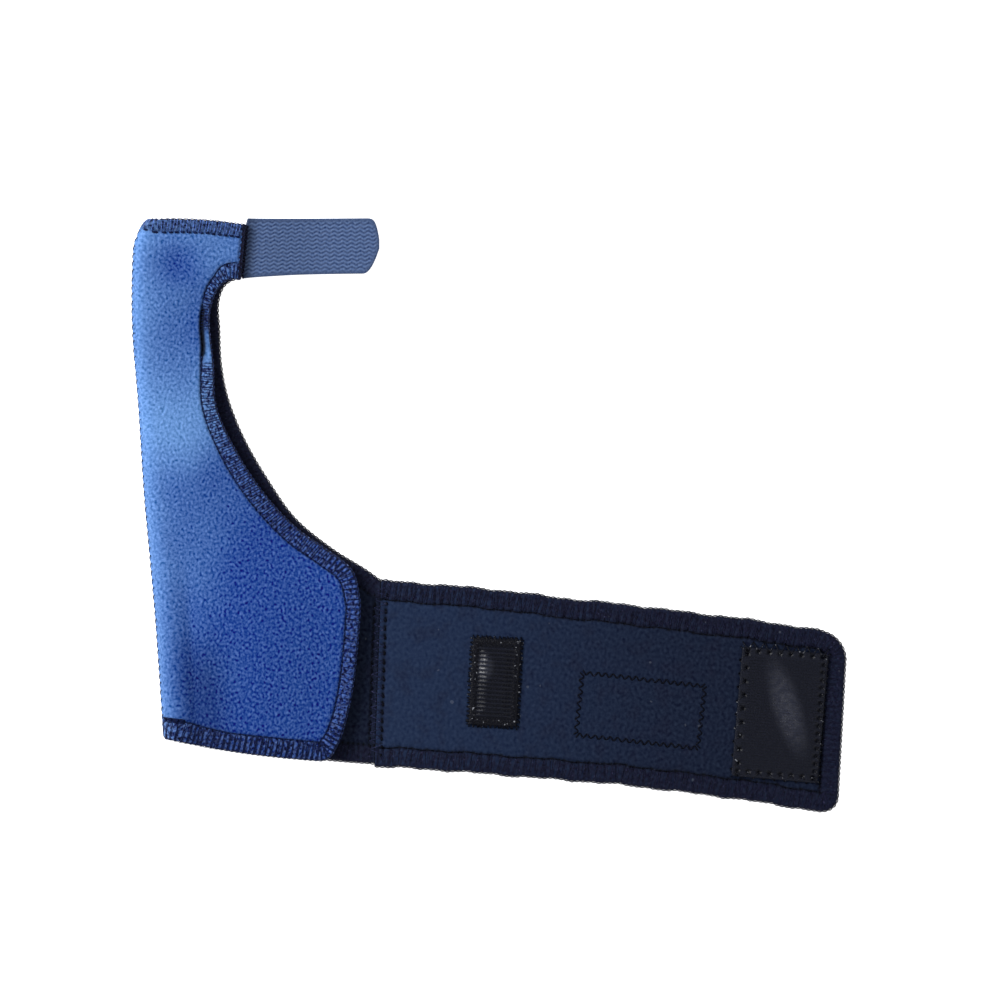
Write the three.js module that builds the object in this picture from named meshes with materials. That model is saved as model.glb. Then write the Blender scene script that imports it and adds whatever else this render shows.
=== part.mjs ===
// A wrist and thumb brace, lying folded on a table as it is stored.
// Two panels of neoprene laminate are sewn together along the side seam. The front panel folds over the
// back one, so that the hand goes in between them. A wide wrist strap is sewn to the back panel at the
// wrist seam, and a narrow thumb strap under the front panel's thumb end. Two patches of hook tape are
// sewn to the wrist strap.
// Millimetres, +Z up. The origin is on the table, under the middle of the whole brace.
import * as THREE from "three";

// Driving dimensions: the panels
const laminate = 3; // thickness of the neoprene with its cloth on both faces
const panelHeight = 238; // from the wrist hem to the thumb end
const flapWidth = 100; // from the side seam to the front panel's free edge at the wrist
const wristSeamMargin = 8.8; // from the front panel's free edge to the middle of the wrist seam
const foldAtWrist = 7.2; // radius at mid thickness of the curl up to the side seam, at the wrist
const foldAtThumb = 5; // the same radius at the thumb end
const flapLift = 4; // how far the springy front panel's free edge stands off the back panel
const pocketSwell = 3.5; // how far the front panel bulges over the wrist
const valleyDepth = 2; // how deep the shallow valley behind the curl is, at the wrist
const valleyReach = 7; // how far the valley's middle lies from the curl
const hemBow = 1.3; // how far the wrist hem bows down in its middle
const thumbEndBow = 1.9; // how far the thumb end bows up in its middle
const edgeRound = 0.8; // how far the stitching draws in the corners of a cut edge

// Driving dimensions: the wrist strap and its two hook patches
const strapLength = 203;
const strapWidth = 80;
const wristSeamDrop = 1.4; // how far the wrist seam's foot lies below the front panel's hem
const wristSeamLean = 5.5; // degrees from upright
const strapEndLean = 3.2; // degrees from upright
const upperCorner = 11; // corner radii at the strap's end
const lowerCorner = 7.5;
const hookTape = 1.2; // thickness of the hook patches
const middlePatchLength = 21; // along the strap
const middlePatchWidth = 38; // across it
const middlePatchAlong = 50.5; // from the wrist seam to the patch's middle
const middlePatchTilt = 3; // degrees, clockwise
const endPatchLength = 38;
const endPatchWidth = 57;
const endPatchMargin = 8.2; // from the strap's end to the patch
const endPatchTilt = 5;
const patchCorner = 1.5; // radius of a patch's corners

// Driving dimensions: the thumb strap
const webbing = 1.5; // thickness of its woven tape
const thumbStrapLength = 58.5; // from the front panel's edge to its end
const thumbStrapWidth = 25;
const thumbStrapNose = 7; // length of its rounded end
const noseTip = 0.95; // share of the nose's full length at which its tip is cut off
const thumbStrapRise = 1.6; // how far its middle lies above the middle of the panel's edge
const tongueLength = 5; // the stretch that is sewn under the front panel
const tongueWidth = 19;
const drapeLength = 34; // the stretch over which it comes down to the table

// Clearance between pieces that are sewn together
const sewnGap = 0.3;

// How finely the soft forms are divided
const foldSteps = 5;
const leafSteps = 13;
const strapSteps = 22;
const cornerSteps = 5;
const drapeSteps = 12;

// The side seam's outline from the wrist hem to the thumb end.
// up is a share of panelHeight, and out a share of flapWidth from the seam's outermost point.
const sideSeam = [
  { up: 0.0415, out: 0.14 },
  { up: 0.169, out: 0.12 },
  { up: 0.279, out: 0.101 },
  { up: 0.399, out: 0.075 },
  { up: 0.501, out: 0.053 },
  { up: 0.658, out: 0.028 },
  { up: 0.768, out: 0.006 },
  { up: 0.852, out: 0 },
  { up: 0.94, out: 0.006 },
  { up: 0.967, out: 0.022 },
  { up: 0.986, out: 0.043 },
  { up: 0.997, out: 0.074 },
];

// The front panel's free edge, from the wrist hem round the web of the thumb to the thumb strap
const frontEdge = [
  { up: 0, out: 0.833 },
  { up: 0.006, out: 0.868 },
  { up: 0.022, out: 0.895 },
  { up: 0.06, out: 0.932 },
  { up: 0.143, out: 0.974 },
  { up: 0.254, out: 1 },
  { up: 0.302, out: 1 },
  { up: 0.352, out: 0.965 },
  { up: 0.392, out: 0.846 },
  { up: 0.427, out: 0.728 },
  { up: 0.485, out: 0.595 },
  { up: 0.56, out: 0.473 },
  { up: 0.65, out: 0.373 },
  { up: 0.732, out: 0.358 },
  { up: 0.811, out: 0.34 },
  { up: 0.86, out: 0.364 },
  { up: 0.886, out: 0.417 },
  { up: 0.889, out: 0.482 },
];
const frontThumbCorner = { up: 0.988, out: 0.504 };

// The back panel's free edge, from the wrist seam round the web of the thumb.
// rise is a share of the height that is left above the strap's width, and out a share of flapWidth.
const backEdge = [
  { rise: 0.035, out: 1.018 },
  { rise: 0.09, out: 0.877 },
  { rise: 0.174, out: 0.715 },
  { rise: 0.283, out: 0.592 },
  { rise: 0.393, out: 0.491 },
  { rise: 0.503, out: 0.421 },
  { rise: 0.6, out: 0.39 },
  { rise: 0.696, out: 0.382 },
  { rise: 0.764, out: 0.377 },
  { rise: 0.811, out: 0.399 },
  { rise: 0.832, out: 0.439 },
  { rise: 0.836, out: 0.478 },
];
const backThumbCorner = { rise: 0.976, out: 0.487 };

// How far the front panel reaches from the side seam, and how much of pocketSwell it bulges there
const leafSections = [
  { up: 0, span: 0.7, swell: 0.5 },
  { up: 0.15, span: 0.86, swell: 0.9 },
  { up: 0.3, span: 0.9, swell: 1 },
  { up: 0.42, span: 0.66, swell: 0.6 },
  { up: 0.56, span: 0.42, swell: 0.1 },
  { up: 0.7, span: 0.33, swell: 0 },
  { up: 0.82, span: 0.35, swell: 0 },
  { up: 0.9, span: 0.46, swell: 0.2 },
  { up: 1, span: 0.49, swell: 0.2 },
];

// Dents and swellings of the front panel. reach is a share of flapWidth, and rise one of pocketSwell.
const dents = [
  { up: 0.915, out: 0.215, reach: 0.085, rise: -0.34 },
  { up: 0.845, out: 0.3, reach: 0.08, rise: -0.12 },
  { up: 0.52, out: 0.27, reach: 0.14, rise: 0.2 },
];

// The wrist strap's sections. along is a share of strapLength, fall and width are shares of strapWidth.
const strapSections = [
  { along: 0, fall: 0.006, width: 1.015 },
  { along: 0.13, fall: 0.028, width: 1.01 },
  { along: 0.26, fall: 0.056, width: 1.005 },
  { along: 0.39, fall: 0.09, width: 0.99 },
  { along: 0.52, fall: 0.12, width: 0.983 },
  { along: 0.65, fall: 0.16, width: 0.98 },
  { along: 0.78, fall: 0.2, width: 0.983 },
  { along: 0.91, fall: 0.25, width: 0.983 },
  { along: 1, fall: 0.288, width: 0.98 },
];

// The thumb strap's sections. along is a share of thumbStrapLength, fall and width are shares of
// thumbStrapWidth.
const thumbStrapSections = [
  { along: 0, fall: 0, width: 1.07 },
  { along: 0.12, fall: -0.012, width: 1.035 },
  { along: 0.45, fall: -0.036, width: 0.99 },
  { along: 1, fall: -0.052, width: 0.975 },
];

// A smooth curve of column over key, through a table's rows
function through(table, key, column) {
  const slope = (i) => {
    const a = table[Math.max(i - 1, 0)];
    const b = table[Math.min(i + 1, table.length - 1)];
    return (b[column] - a[column]) / (b[key] - a[key]);
  };
  const last = table.length - 1;
  return (at) => {
    const x = THREE.MathUtils.clamp(at, table[0][key], table[last][key]);
    let i = 0;
    while (i < last - 1 && x > table[i + 1][key]) i++;
    const step = table[i + 1][key] - table[i][key];
    const t = (x - table[i][key]) / step;
    const rise = table[i + 1][column] - table[i][column];
    const a = slope(i) * step - rise;
    const b = rise - slope(i + 1) * step;
    return table[i][column] + t * rise + t * (1 - t) * (a * (1 - t) + b * t);
  };
}

// An even rise from 0 at one value to 1 at the other, whichever is the larger
const smooth = (from, to, at) => THREE.MathUtils.smoothstep((at - from) / (to - from), 0, 1);
const onPanel = ({ up, out }) => new THREE.Vector2(out * flapWidth, up * panelHeight);

// The side seam at mid thickness, as a distance from its outermost point
const seamOut = through(sideSeam, "up", "out");
const seamAt = (up) => seamOut(up) * flapWidth + laminate / 2;

// Heights at mid thickness: of the curl at the side seam, and of the front panel's edge
const foldRadius = (up) => THREE.MathUtils.lerp(foldAtWrist, foldAtThumb, smooth(0.42, 0.74, up));
const seamHeight = (up) => laminate / 2 + foldRadius(up);
const lift = (up) => THREE.MathUtils.lerp(flapLift, webbing + 2 * sewnGap, smooth(0.72, 0.9, up));
const edgeHeight = (up) => (laminate * 3) / 2 + lift(up);

// The front panel's height at mid thickness, over a point of the plan that lies inside the curl
const leafSpan = through(leafSections, "up", "span");
const leafSwell = through(leafSections, "up", "swell");
function leafHeight(x, y) {
  const up = y / panelHeight;
  const radius = foldRadius(up);
  const crest = seamHeight(up) + radius;
  const run = x - seamAt(up) - radius;
  const share = THREE.MathUtils.clamp(run / (leafSpan(up) * flapWidth - radius), 0, 1);
  const bulge = pocketSwell * leafSwell(up) * Math.sin(Math.PI * share) ** 2;
  const fromValley = run / valleyReach - 1;
  const valley = valleyDepth * Math.exp(-3 * fromValley ** 2) * smooth(0.42, 0.2, up);
  let height = crest + (edgeHeight(up) - crest) * smooth(0, 1, share) + bulge - valley;
  for (const dent of dents) {
    const away = onPanel(dent).distanceTo(new THREE.Vector2(x, y)) / (dent.reach * flapWidth);
    height += dent.rise * pocketSwell * Math.exp(-away * away) * smooth(0, radius, run);
  }
  return height;
}

// A closed sheet of even thickness round a grid of points at mid thickness, rows[i][j].
// Its faces are drawn in by round along every edge, so that the edge is blunt and not sharp.
function sheet(rows, thickness, round) {
  const m = rows.length - 1;
  const n = rows[0].length - 1;
  // The direction of the grid at a point, from three neighbours where it lies on the edge
  const along = (point, at, last) => {
    if (at > 0 && at < last) return point(at + 1).clone().sub(point(at - 1));
    const s = at === 0 ? 1 : -1;
    const ahead = point(at + s).clone().multiplyScalar(4).sub(point(at + 2 * s));
    return ahead.addScaledVector(point(at), -3).multiplyScalar(s);
  };
  const positions = [];
  const add = (p) => positions.push(p.x, p.y, p.z) / 3 - 1;
  const faces = { upper: [], lower: [], rim: [] };
  for (let i = 0; i <= m; i++) {
    for (const name of ["upper", "lower", "rim"]) faces[name].push([]);
    for (let j = 0; j <= n; j++) {
      const p = rows[i][j];
      const acrossward = along((k) => rows[i][k], j, n);
      const upward = along((k) => rows[k][j], i, m);
      const normal = acrossward.cross(upward).normalize();
      const inner = p.clone();
      if (i === 0 || i === m) {
        const next = rows[i === 0 ? 1 : m - 1][j].clone().sub(p);
        inner.add(next.setLength(Math.min(round, next.length() / 2)));
      }
      if (j === 0 || j === n) {
        const next = rows[i][j === 0 ? 1 : n - 1].clone().sub(p);
        inner.add(next.setLength(Math.min(round, next.length() / 2)));
      }
      faces.upper[i].push(add(inner.clone().addScaledVector(normal, thickness / 2)));
      faces.lower[i].push(add(inner.clone().addScaledVector(normal, -thickness / 2)));
      if (i === 0 || i === m || j === 0 || j === n) faces.rim[i][j] = add(p);
    }
  }
  const index = [];
  const quad = (a, b, c, d) => index.push(a, b, c, a, c, d);
  for (let i = 0; i < m; i++) {
    for (let j = 0; j < n; j++) {
      const at = ({ [i]: low, [i + 1]: high }) => [low[j], low[j + 1], high[j + 1], high[j]];
      quad(...at(faces.upper));
      quad(...at(faces.lower).reverse());
    }
  }
  // The rim runs round the sheet anticlockwise, seen from its upper side
  const ring = [];
  for (let j = 0; j < n; j++) ring.push([0, j]);
  for (let i = 0; i < m; i++) ring.push([i, n]);
  for (let j = n; j > 0; j--) ring.push([m, j]);
  for (let i = m; i > 0; i--) ring.push([i, 0]);
  ring.forEach(([i, j], k) => {
    const [ii, jj] = ring[(k + 1) % ring.length];
    quad(faces.lower[i][j], faces.lower[ii][jj], faces.rim[ii][jj], faces.rim[i][j]);
    quad(faces.rim[i][j], faces.rim[ii][jj], faces.upper[ii][jj], faces.upper[i][j]);
  });
  const geometry = new THREE.BufferGeometry();
  geometry.setAttribute("position", new THREE.Float32BufferAttribute(positions, 3));
  geometry.setIndex(index);
  geometry.computeVertexNormals();
  return geometry;
}

// Points along an outline made of several stretches, each with its own number of steps
function outline(stretches) {
  const points = [stretches[0].curve.getPoint(0)];
  for (const { curve, steps } of stretches) {
    for (let k = 1; k <= steps; k++) points.push(curve.getPointAt(k / steps));
  }
  const lengths = [0];
  points.slice(1).forEach((p, k) => lengths.push(lengths[k] + p.distanceTo(points[k])));
  return points.map((point, k) => ({ point, share: lengths[k] / lengths[lengths.length - 1] }));
}

const spline = (points) => new THREE.SplineCurve(points);
const straight = (a, b) => new THREE.LineCurve(a, b);

// One panel: rows from the side seam to the free edge, which curl at the seam and then lie as height says.
// side is 1 for the front panel, which curls down to the seam, and -1 for the back one, which curls up.
function panel(stretches, side, height) {
  const seam = spline(sideSeam.map(onPanel));
  return outline(stretches).map(({ point: end, share }) => {
    const start = seam.getPointAt(share);
    const up = start.y / panelHeight;
    start.x += laminate / 2;
    const radius = foldRadius(up);
    const way = end.clone().sub(start);
    const width = way.length();
    way.normalize();
    const row = [];
    for (let k = 0; k < foldSteps; k++) {
      const angle = (k / foldSteps) * (Math.PI / 2);
      const flat = start.clone().addScaledVector(way, radius * (1 - Math.cos(angle)));
      const rise = side * (radius * Math.sin(angle) + (sewnGap / 2) * Math.cos(angle));
      row.push(new THREE.Vector3(flat.x, flat.y, seamHeight(up) + rise));
    }
    for (let k = 0; k <= leafSteps; k++) {
      const reach = radius + (width - radius) * (k / leafSteps);
      const flat = start.clone().addScaledVector(way, reach);
      row.push(new THREE.Vector3(flat.x, flat.y, height(flat.x, flat.y)));
    }
    // The two ends of the panel bow outwards a little between the seam and the free edge
    const bow = thumbEndBow * share ** 6 - hemBow * (1 - share) ** 6;
    return row.map((p) => {
      const t = THREE.MathUtils.clamp((p.x - start.x) / (end.x - start.x), 0, 1);
      return p.add(new THREE.Vector3(0, bow * 4 * t * (1 - t), 0));
    });
  });
}

function frontPanel() {
  const edge = frontEdge.map(onPanel);
  const stretches = [
    { curve: spline(edge), steps: 34 },
    { curve: straight(edge[edge.length - 1], onPanel(frontThumbCorner)), steps: 4 },
  ];
  return sheet(panel(stretches, 1, leafHeight), laminate, edgeRound);
}

// The wrist seam's middle and the direction up it, which the back panel and the wrist strap share
const leanWay = (degrees) => {
  const lean = THREE.MathUtils.degToRad(degrees);
  return new THREE.Vector2(Math.sin(lean), Math.cos(lean));
};
const wristSeam = new THREE.Vector2(flapWidth + wristSeamMargin, strapWidth / 2 - wristSeamDrop);

function backPanel() {
  const up = leanWay(wristSeamLean);
  const low = wristSeam.clone().addScaledVector(up, -strapWidth / 2);
  const high = wristSeam.clone().addScaledVector(up, strapWidth / 2);
  const onBack = ({ rise, out }) => {
    return new THREE.Vector2(out * flapWidth, THREE.MathUtils.lerp(high.y, panelHeight, rise));
  };
  const edge = [high, ...backEdge.map(onBack)];
  const stretches = [
    { curve: straight(low, high), steps: 10 },
    { curve: spline(edge), steps: 24 },
    { curve: straight(edge[edge.length - 1], onBack(backThumbCorner)), steps: 4 },
  ];
  return sheet(panel(stretches, -1, () => laminate / 2), laminate, edgeRound);
}

// A strap with its middle line and width from a table. At each distance along it, height gives the height
// of its middle thickness, and shape the widths that are left above and below its middle line.
function strap({ sections, length, width, start, leans, stations, shape, height }) {
  const fall = through(sections, "along", "fall");
  const widths = through(sections, "along", "width");
  const steps = 6;
  const rows = [];
  for (let i = 0; i <= steps; i++) {
    rows.push(
      stations.map((distance) => {
        const along = Math.max(distance, 0) / length;
        const middle = start.clone().add(new THREE.Vector2(distance, -fall(along) * width));
        const side = (2 * i) / steps - 1;
        const [above, below] = shape(distance, (widths(along) * width) / 2);
        const way = leanWay(THREE.MathUtils.lerp(leans[0], leans[1], along));
        middle.addScaledVector(way, side * (side > 0 ? above : below));
        return new THREE.Vector3(middle.x, middle.y, height(distance));
      }),
    );
  }
  return rows;
}

// What is left of a half width near an end with a round corner
const rounded = (half, radius, toEnd) => {
  const into = Math.max(radius - toEnd, 0);
  return half - (radius - Math.sqrt(radius * radius - into * into));
};

function wristStrap() {
  const corner = Math.max(upperCorner, lowerCorner);
  const stations = [];
  for (let k = 0; k < strapSteps; k++) stations.push(((strapLength - corner) * k) / strapSteps);
  for (let k = 0; k <= cornerSteps; k++) {
    const angle = (k / cornerSteps) * (Math.PI / 2);
    stations.push(strapLength - corner + corner * Math.sin(angle));
  }
  const rows = strap({
    sections: strapSections,
    length: strapLength,
    width: strapWidth,
    start: wristSeam.clone().add(new THREE.Vector2(sewnGap, 0)),
    leans: [wristSeamLean, strapEndLean],
    stations,
    shape: (distance, half) => [
      rounded(half, upperCorner, strapLength - distance),
      rounded(half, lowerCorner, strapLength - distance),
    ],
    height: () => laminate / 2,
  });
  return sheet(rows, laminate, edgeRound);
}

// The joint of the thumb strap and the front panel: its middle, and the lean of the panel's edge there
const jointLow = onPanel(frontEdge[frontEdge.length - 1]);
const jointHigh = onPanel(frontThumbCorner);
const jointMiddle = jointLow.clone().lerp(jointHigh, 0.5);
const jointLean = THREE.MathUtils.radToDeg(
  Math.atan2(jointHigh.x - jointLow.x, jointHigh.y - jointLow.y),
);

function thumbStrap() {
  const sewn = laminate + sewnGap + webbing / 2; // height at mid thickness where it is sewn
  const plain = thumbStrapLength - thumbStrapNose;
  const shoulder = edgeRound / 2; // the tongue widens to the strap over twice this length
  const stations = [-tongueLength, -tongueLength / 2, -shoulder];
  for (let k = 0; k <= drapeSteps; k++) {
    stations.push(THREE.MathUtils.lerp(shoulder, plain, k / drapeSteps));
  }
  for (let k = 1; k <= cornerSteps; k++) {
    const angle = (k / cornerSteps) * (Math.PI / 2);
    stations.push(plain + thumbStrapNose * Math.sin(angle));
  }
  // The nose is fuller above than below, and its very tip is cut off
  const nose = (into, power) => 1 - (noseTip * Math.max(into, 0)) ** power;
  const rows = strap({
    sections: thumbStrapSections,
    length: thumbStrapLength,
    width: thumbStrapWidth,
    start: jointMiddle.clone().add(new THREE.Vector2(0, thumbStrapRise)),
    leans: [jointLean, 0],
    stations,
    shape: (distance, half) => {
      const into = (distance - plain) / thumbStrapNose;
      const full = distance < 0 ? tongueWidth / 2 : half;
      return [full * nose(into, 5), full * nose(into, 2)];
    },
    height: (distance) => {
      const down = smooth(laminate / 2, laminate / 2 + drapeLength, distance);
      return THREE.MathUtils.lerp(sewn, webbing / 2, down);
    },
  });
  return sheet(rows, webbing, webbing / 4);
}

// A flat patch of hook tape with round corners, its middle at the origin
function hookPatch(length, width) {
  const x = length / 2 - patchCorner;
  const y = width / 2 - patchCorner;
  const shape = new THREE.Shape();
  shape.absarc(x, y, patchCorner, 0, Math.PI / 2);
  shape.absarc(-x, y, patchCorner, Math.PI / 2, Math.PI);
  shape.absarc(-x, -y, patchCorner, Math.PI, (Math.PI * 3) / 2);
  shape.absarc(x, -y, patchCorner, (Math.PI * 3) / 2, Math.PI * 2);
  return new THREE.ExtrudeGeometry(shape, { depth: hookTape, bevelEnabled: false, curveSegments: 4 });
}

// A point on the wrist strap's middle line, on its upper face
function onStrap(distance) {
  const fall = through(strapSections, "along", "fall");
  return new THREE.Vector3(
    wristSeam.x + sewnGap + distance,
    wristSeam.y - fall(distance / strapLength) * strapWidth,
    laminate + sewnGap,
  );
}

const brace = new THREE.Group();

function addPiece(name, geometry, colour, roughness) {
  const material = new THREE.MeshStandardMaterial({ color: colour, roughness, metalness: 0 });
  const piece = new THREE.Mesh(geometry, material);
  piece.name = name;
  brace.add(piece);
  return piece;
}

const royalBlue = 0x3f68b0;
const navy = 0x1f2b47;
const steelBlue = 0x4e668f;
const hookBlack = 0x202228;

addPiece("front_panel", frontPanel(), royalBlue, 0.9);
addPiece("back_panel", backPanel(), navy, 0.85);
addPiece("wrist_strap", wristStrap(), navy, 0.85);
addPiece("thumb_strap", thumbStrap(), steelBlue, 0.7);

const middlePatch = addPiece(
  "middle_hook_patch",
  hookPatch(middlePatchLength, middlePatchWidth),
  hookBlack,
  0.45,
);
middlePatch.position.copy(onStrap(middlePatchAlong));
middlePatch.rotation.z = -THREE.MathUtils.degToRad(middlePatchTilt);

const endPatch = addPiece("end_hook_patch", hookPatch(endPatchLength, endPatchWidth), hookBlack, 0.45);
endPatch.position.copy(onStrap(strapLength - endPatchMargin - endPatchLength / 2));
endPatch.rotation.z = -THREE.MathUtils.degToRad(endPatchTilt);

// The origin goes under the middle of the brace, on the table
const box = new THREE.Box3().setFromObject(brace, true);
const middle = box.getCenter(new THREE.Vector3());
brace.position.set(-middle.x, -middle.y, -box.min.z);

export default brace;
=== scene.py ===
# A wrist and thumb brace lying folded on a white table, seen from straight above.
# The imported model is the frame. Each soft solid in it is replaced by a finer piece of the same form:
# neoprene laminate with cloth on both faces, overlocked edges, flat seams, woven tape and hook tape.
# Metres, +Z up. Plan points are measured from the lower left corner of the front panel's box.
import math

import bpy
import numpy as np
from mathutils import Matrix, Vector
from mathutils.bvhtree import BVHTree
from mathutils.kdtree import KDTree


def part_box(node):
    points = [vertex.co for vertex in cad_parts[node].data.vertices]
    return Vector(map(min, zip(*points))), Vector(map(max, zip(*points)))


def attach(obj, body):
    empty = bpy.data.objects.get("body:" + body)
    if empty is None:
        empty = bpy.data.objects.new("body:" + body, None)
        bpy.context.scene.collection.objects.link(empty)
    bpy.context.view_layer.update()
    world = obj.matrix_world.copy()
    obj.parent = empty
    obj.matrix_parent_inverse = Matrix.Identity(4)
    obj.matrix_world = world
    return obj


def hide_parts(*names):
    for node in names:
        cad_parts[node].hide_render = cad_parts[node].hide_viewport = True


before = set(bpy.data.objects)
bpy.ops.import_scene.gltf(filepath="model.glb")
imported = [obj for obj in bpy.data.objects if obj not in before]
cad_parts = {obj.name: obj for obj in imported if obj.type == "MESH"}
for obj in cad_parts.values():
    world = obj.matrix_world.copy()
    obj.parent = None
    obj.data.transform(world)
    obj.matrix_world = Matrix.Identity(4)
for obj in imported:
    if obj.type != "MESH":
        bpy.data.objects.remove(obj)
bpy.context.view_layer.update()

bl_info = {
    "name": "Wrist thumb brace",
    "version": (1, 0, 0),
    "blender": (4, 5, 0),
    "location": "View3D > Sidebar > Brace",
    "description": "Builds a soft wrist and thumb brace round its packed model",
    "category": "Object",
}

MM = 0.001
PLAN = np.array([*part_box("front_panel")[0][:2], 0.0])

# Sizes of the panels, as in the part's source
LAMINATE = 3 * MM
PANEL_HEIGHT = 238 * MM
FLAP_WIDTH = 100 * MM
FOLD_AT_WRIST = 7.2 * MM
FOLD_AT_THUMB = 5 * MM
FLAP_LIFT = 4 * MM
POCKET_SWELL = 3.5 * MM
VALLEY_DEPTH = 2 * MM
VALLEY_REACH = 7 * MM
HEM_BOW = 1.3 * MM
THUMB_END_BOW = 1.2 * MM
SEWN_GAP = 0.3 * MM
BUTT_ROUND = 0.45 * MM
BUTT_OVERLAP = 0.2 * MM

# Sizes of the wrist strap and its patches
STRAP_LENGTH = 203 * MM
STRAP_WIDTH = 80 * MM
STRAP_START = np.array([109.1, 38.6]) * MM
WRIST_SEAM = np.array([108.2, 38.6]) * MM
WRIST_SEAM_LEAN = 2.0
STRAP_END_LEAN = 3.2
UPPER_CORNER = 11 * MM
LOWER_CORNER = 7.5 * MM
PATCH_CORNER = 1.5 * MM

# Sizes of the thumb strap
WEBBING = 1.5 * MM
THUMB_STRAP_LENGTH = 59.5 * MM
THUMB_STRAP_WIDTH = 25 * MM
THUMB_STRAP_NOSE = 7 * MM
NOSE_TIP = 0.95
THUMB_STRAP_RISE = 1.6 * MM
TONGUE_LENGTH = 5 * MM
TONGUE_WIDTH = 19 * MM
DRAPE_LENGTH = 34 * MM

# The side seam from the wrist hem to the thumb end: up as a share of the panel's height, and out as a
# share of the flap's width
SIDE_SEAM = np.array([
    (0.0415, 0.14), (0.169, 0.12), (0.279, 0.101), (0.399, 0.075), (0.501, 0.053), (0.658, 0.028),
    (0.768, 0.006), (0.852, 0), (0.94, 0.006), (0.967, 0.022), (0.986, 0.043), (0.997, 0.074),
])

# The front panel's free edge, up and out
FRONT_EDGE = np.array([
    (0, 0.833), (0.006, 0.868), (0.022, 0.895), (0.06, 0.932), (0.143, 0.974), (0.254, 1), (0.302, 1),
    (0.352, 0.965), (0.392, 0.846), (0.427, 0.728), (0.485, 0.595), (0.56, 0.473), (0.65, 0.373),
    (0.732, 0.358), (0.811, 0.34), (0.86, 0.364), (0.886, 0.417), (0.889, 0.482),
])
FRONT_THUMB_CORNER = np.array([(0.988, 0.504)])

# The back panel's free edge: rise as a share of the height left above the strap, and out
BACK_EDGE = np.array([
    (0.035, 1.018), (0.09, 0.877), (0.174, 0.715), (0.283, 0.592), (0.393, 0.491), (0.503, 0.421),
    (0.6, 0.39), (0.696, 0.382), (0.764, 0.377), (0.811, 0.399), (0.832, 0.439), (0.836, 0.478),
])
BACK_THUMB_CORNER = np.array([(0.976, 0.487)])

# How far the front panel reaches from the side seam, and how much it bulges there: up, span, swell
LEAF_SECTIONS = np.array([
    (0, 0.7, 0.5), (0.15, 0.86, 0.9), (0.3, 0.9, 1), (0.42, 0.66, 0.6), (0.56, 0.42, 0.1),
    (0.7, 0.33, 0), (0.82, 0.35, 0), (0.9, 0.46, 0.2), (1, 0.49, 0.2),
])

# Dents and swellings of the front panel: up, out, reach and rise
DENTS = np.array([(0.915, 0.215, 0.085, -0.34), (0.845, 0.3, 0.08, -0.12), (0.52, 0.27, 0.14, 0.2)])

# Sections of the straps: along, fall and width
STRAP_SECTIONS = np.array([
    (0, 0.006, 1.015), (0.13, 0.028, 1.01), (0.26, 0.056, 1.005), (0.39, 0.09, 0.99),
    (0.52, 0.12, 0.983), (0.65, 0.16, 0.98), (0.78, 0.2, 0.983), (0.91, 0.25, 0.983), (1, 0.288, 0.98),
])
THUMB_STRAP_SECTIONS = np.array([
    (0, 0, 1.07), (0.12, -0.012, 1.035), (0.45, -0.036, 0.99), (1, -0.052, 0.975),
])

# Painted light and shade on the blue cloth up the panel: up, and its tone from 0, dark, to 1, light
PAINTED_LIGHT_TONES = np.array([
    (0, 0), (0.12, 0), (0.17, 0.01), (0.21, 0.04), (0.26, 0.1), (0.31, 0.16), (0.35, 0.22), (0.42, 0.22),
    (0.48, 0.22), (0.52, 0.34), (0.56, 0.65), (0.6, 0.9), (0.64, 0.92), (0.68, 0.72), (0.72, 0.5),
    (0.77, 0.36), (0.81, 0.36), (0.86, 0.42), (0.93, 0.48), (1, 0.5),
])

# How the wrist strap's cut edges wander: by how much, over what length, and from what phase
EDGE_WANDER = ((0.26 * MM, 31 * MM, 0.7), (0.2 * MM, 13.5 * MM, 1.9), (0.1 * MM, 6.1 * MM, 0.4))

# Spots of painted light and painted shade on the blue cloth, the darkest in the dent: up, out, reach and
# change of tone
PAINTED_LIGHT_SPOTS = np.array([
    (0.915, 0.2, 0.1, -0.48), (0.79, 0.3, 0.11, -0.12), (0.905, 0.03, 0.08, -0.2),
    (0.94, 0.42, 0.13, 0.16),
])

# The shade in the valley beside the fold: how far from the seam it lies and spreads, and how dark it is
VALLEY_PLACE = 18 * MM
VALLEY_SPREAD = 10 * MM
VALLEY_SHADE = 0.4

# The crease along the upper part of the free edge, and the bare strip beside it: up from, up to
CREASE = (0.742, 0.838)
BARE_STRIP = (0.735, 0.795)

# The width of the overlocked band along the front panel's hem and free edge: up, and width
FRONT_BANDS = np.array([
    (0, 8.3), (0.012, 8.2), (0.03, 7), (0.08, 6.1), (0.28, 6.1), (0.36, 7.2), (0.55, 7.2), (0.61, 6.5),
    (0.68, 5.7), (0.73, 5.4), (0.765, 3.7), (0.83, 3.4), (0.855, 4.3), (0.88, 4.8), (0.889, 7),
]) * [1, MM]
THUMB_END_BAND = 5.7 * MM

# The widths of the other overlocked bands
BACK_HEM_BAND = 8 * MM
BACK_EDGE_BAND = 7.5 * MM
STRAP_BAND = 8.2 * MM

# The distances between the strands that wrap an edge at one stitch
FRONT_STRANDS = 0.36 * MM
THUMB_END_STRANDS = 1.2 * MM
BACK_STRANDS = 0.5 * MM
STRAP_STRANDS = 0.55 * MM

# The stitch from which the free edge is wrapped by evenly spaced threads
FINE_BARS = 74

# How thick some threads are: those that wrap the front panel as a share of the fine thread, and the
# thumb end's dashes and the thumb strap's stitches as a share of the needle thread
FRONT_WRAP = 1.2
THUMB_END_DASH = 1.9
THUMB_SEAM_THREAD = 1.2

# How dark the cloth is between the threads that wrap the thumb end
THUMB_END_SHADE = 0.42

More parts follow.
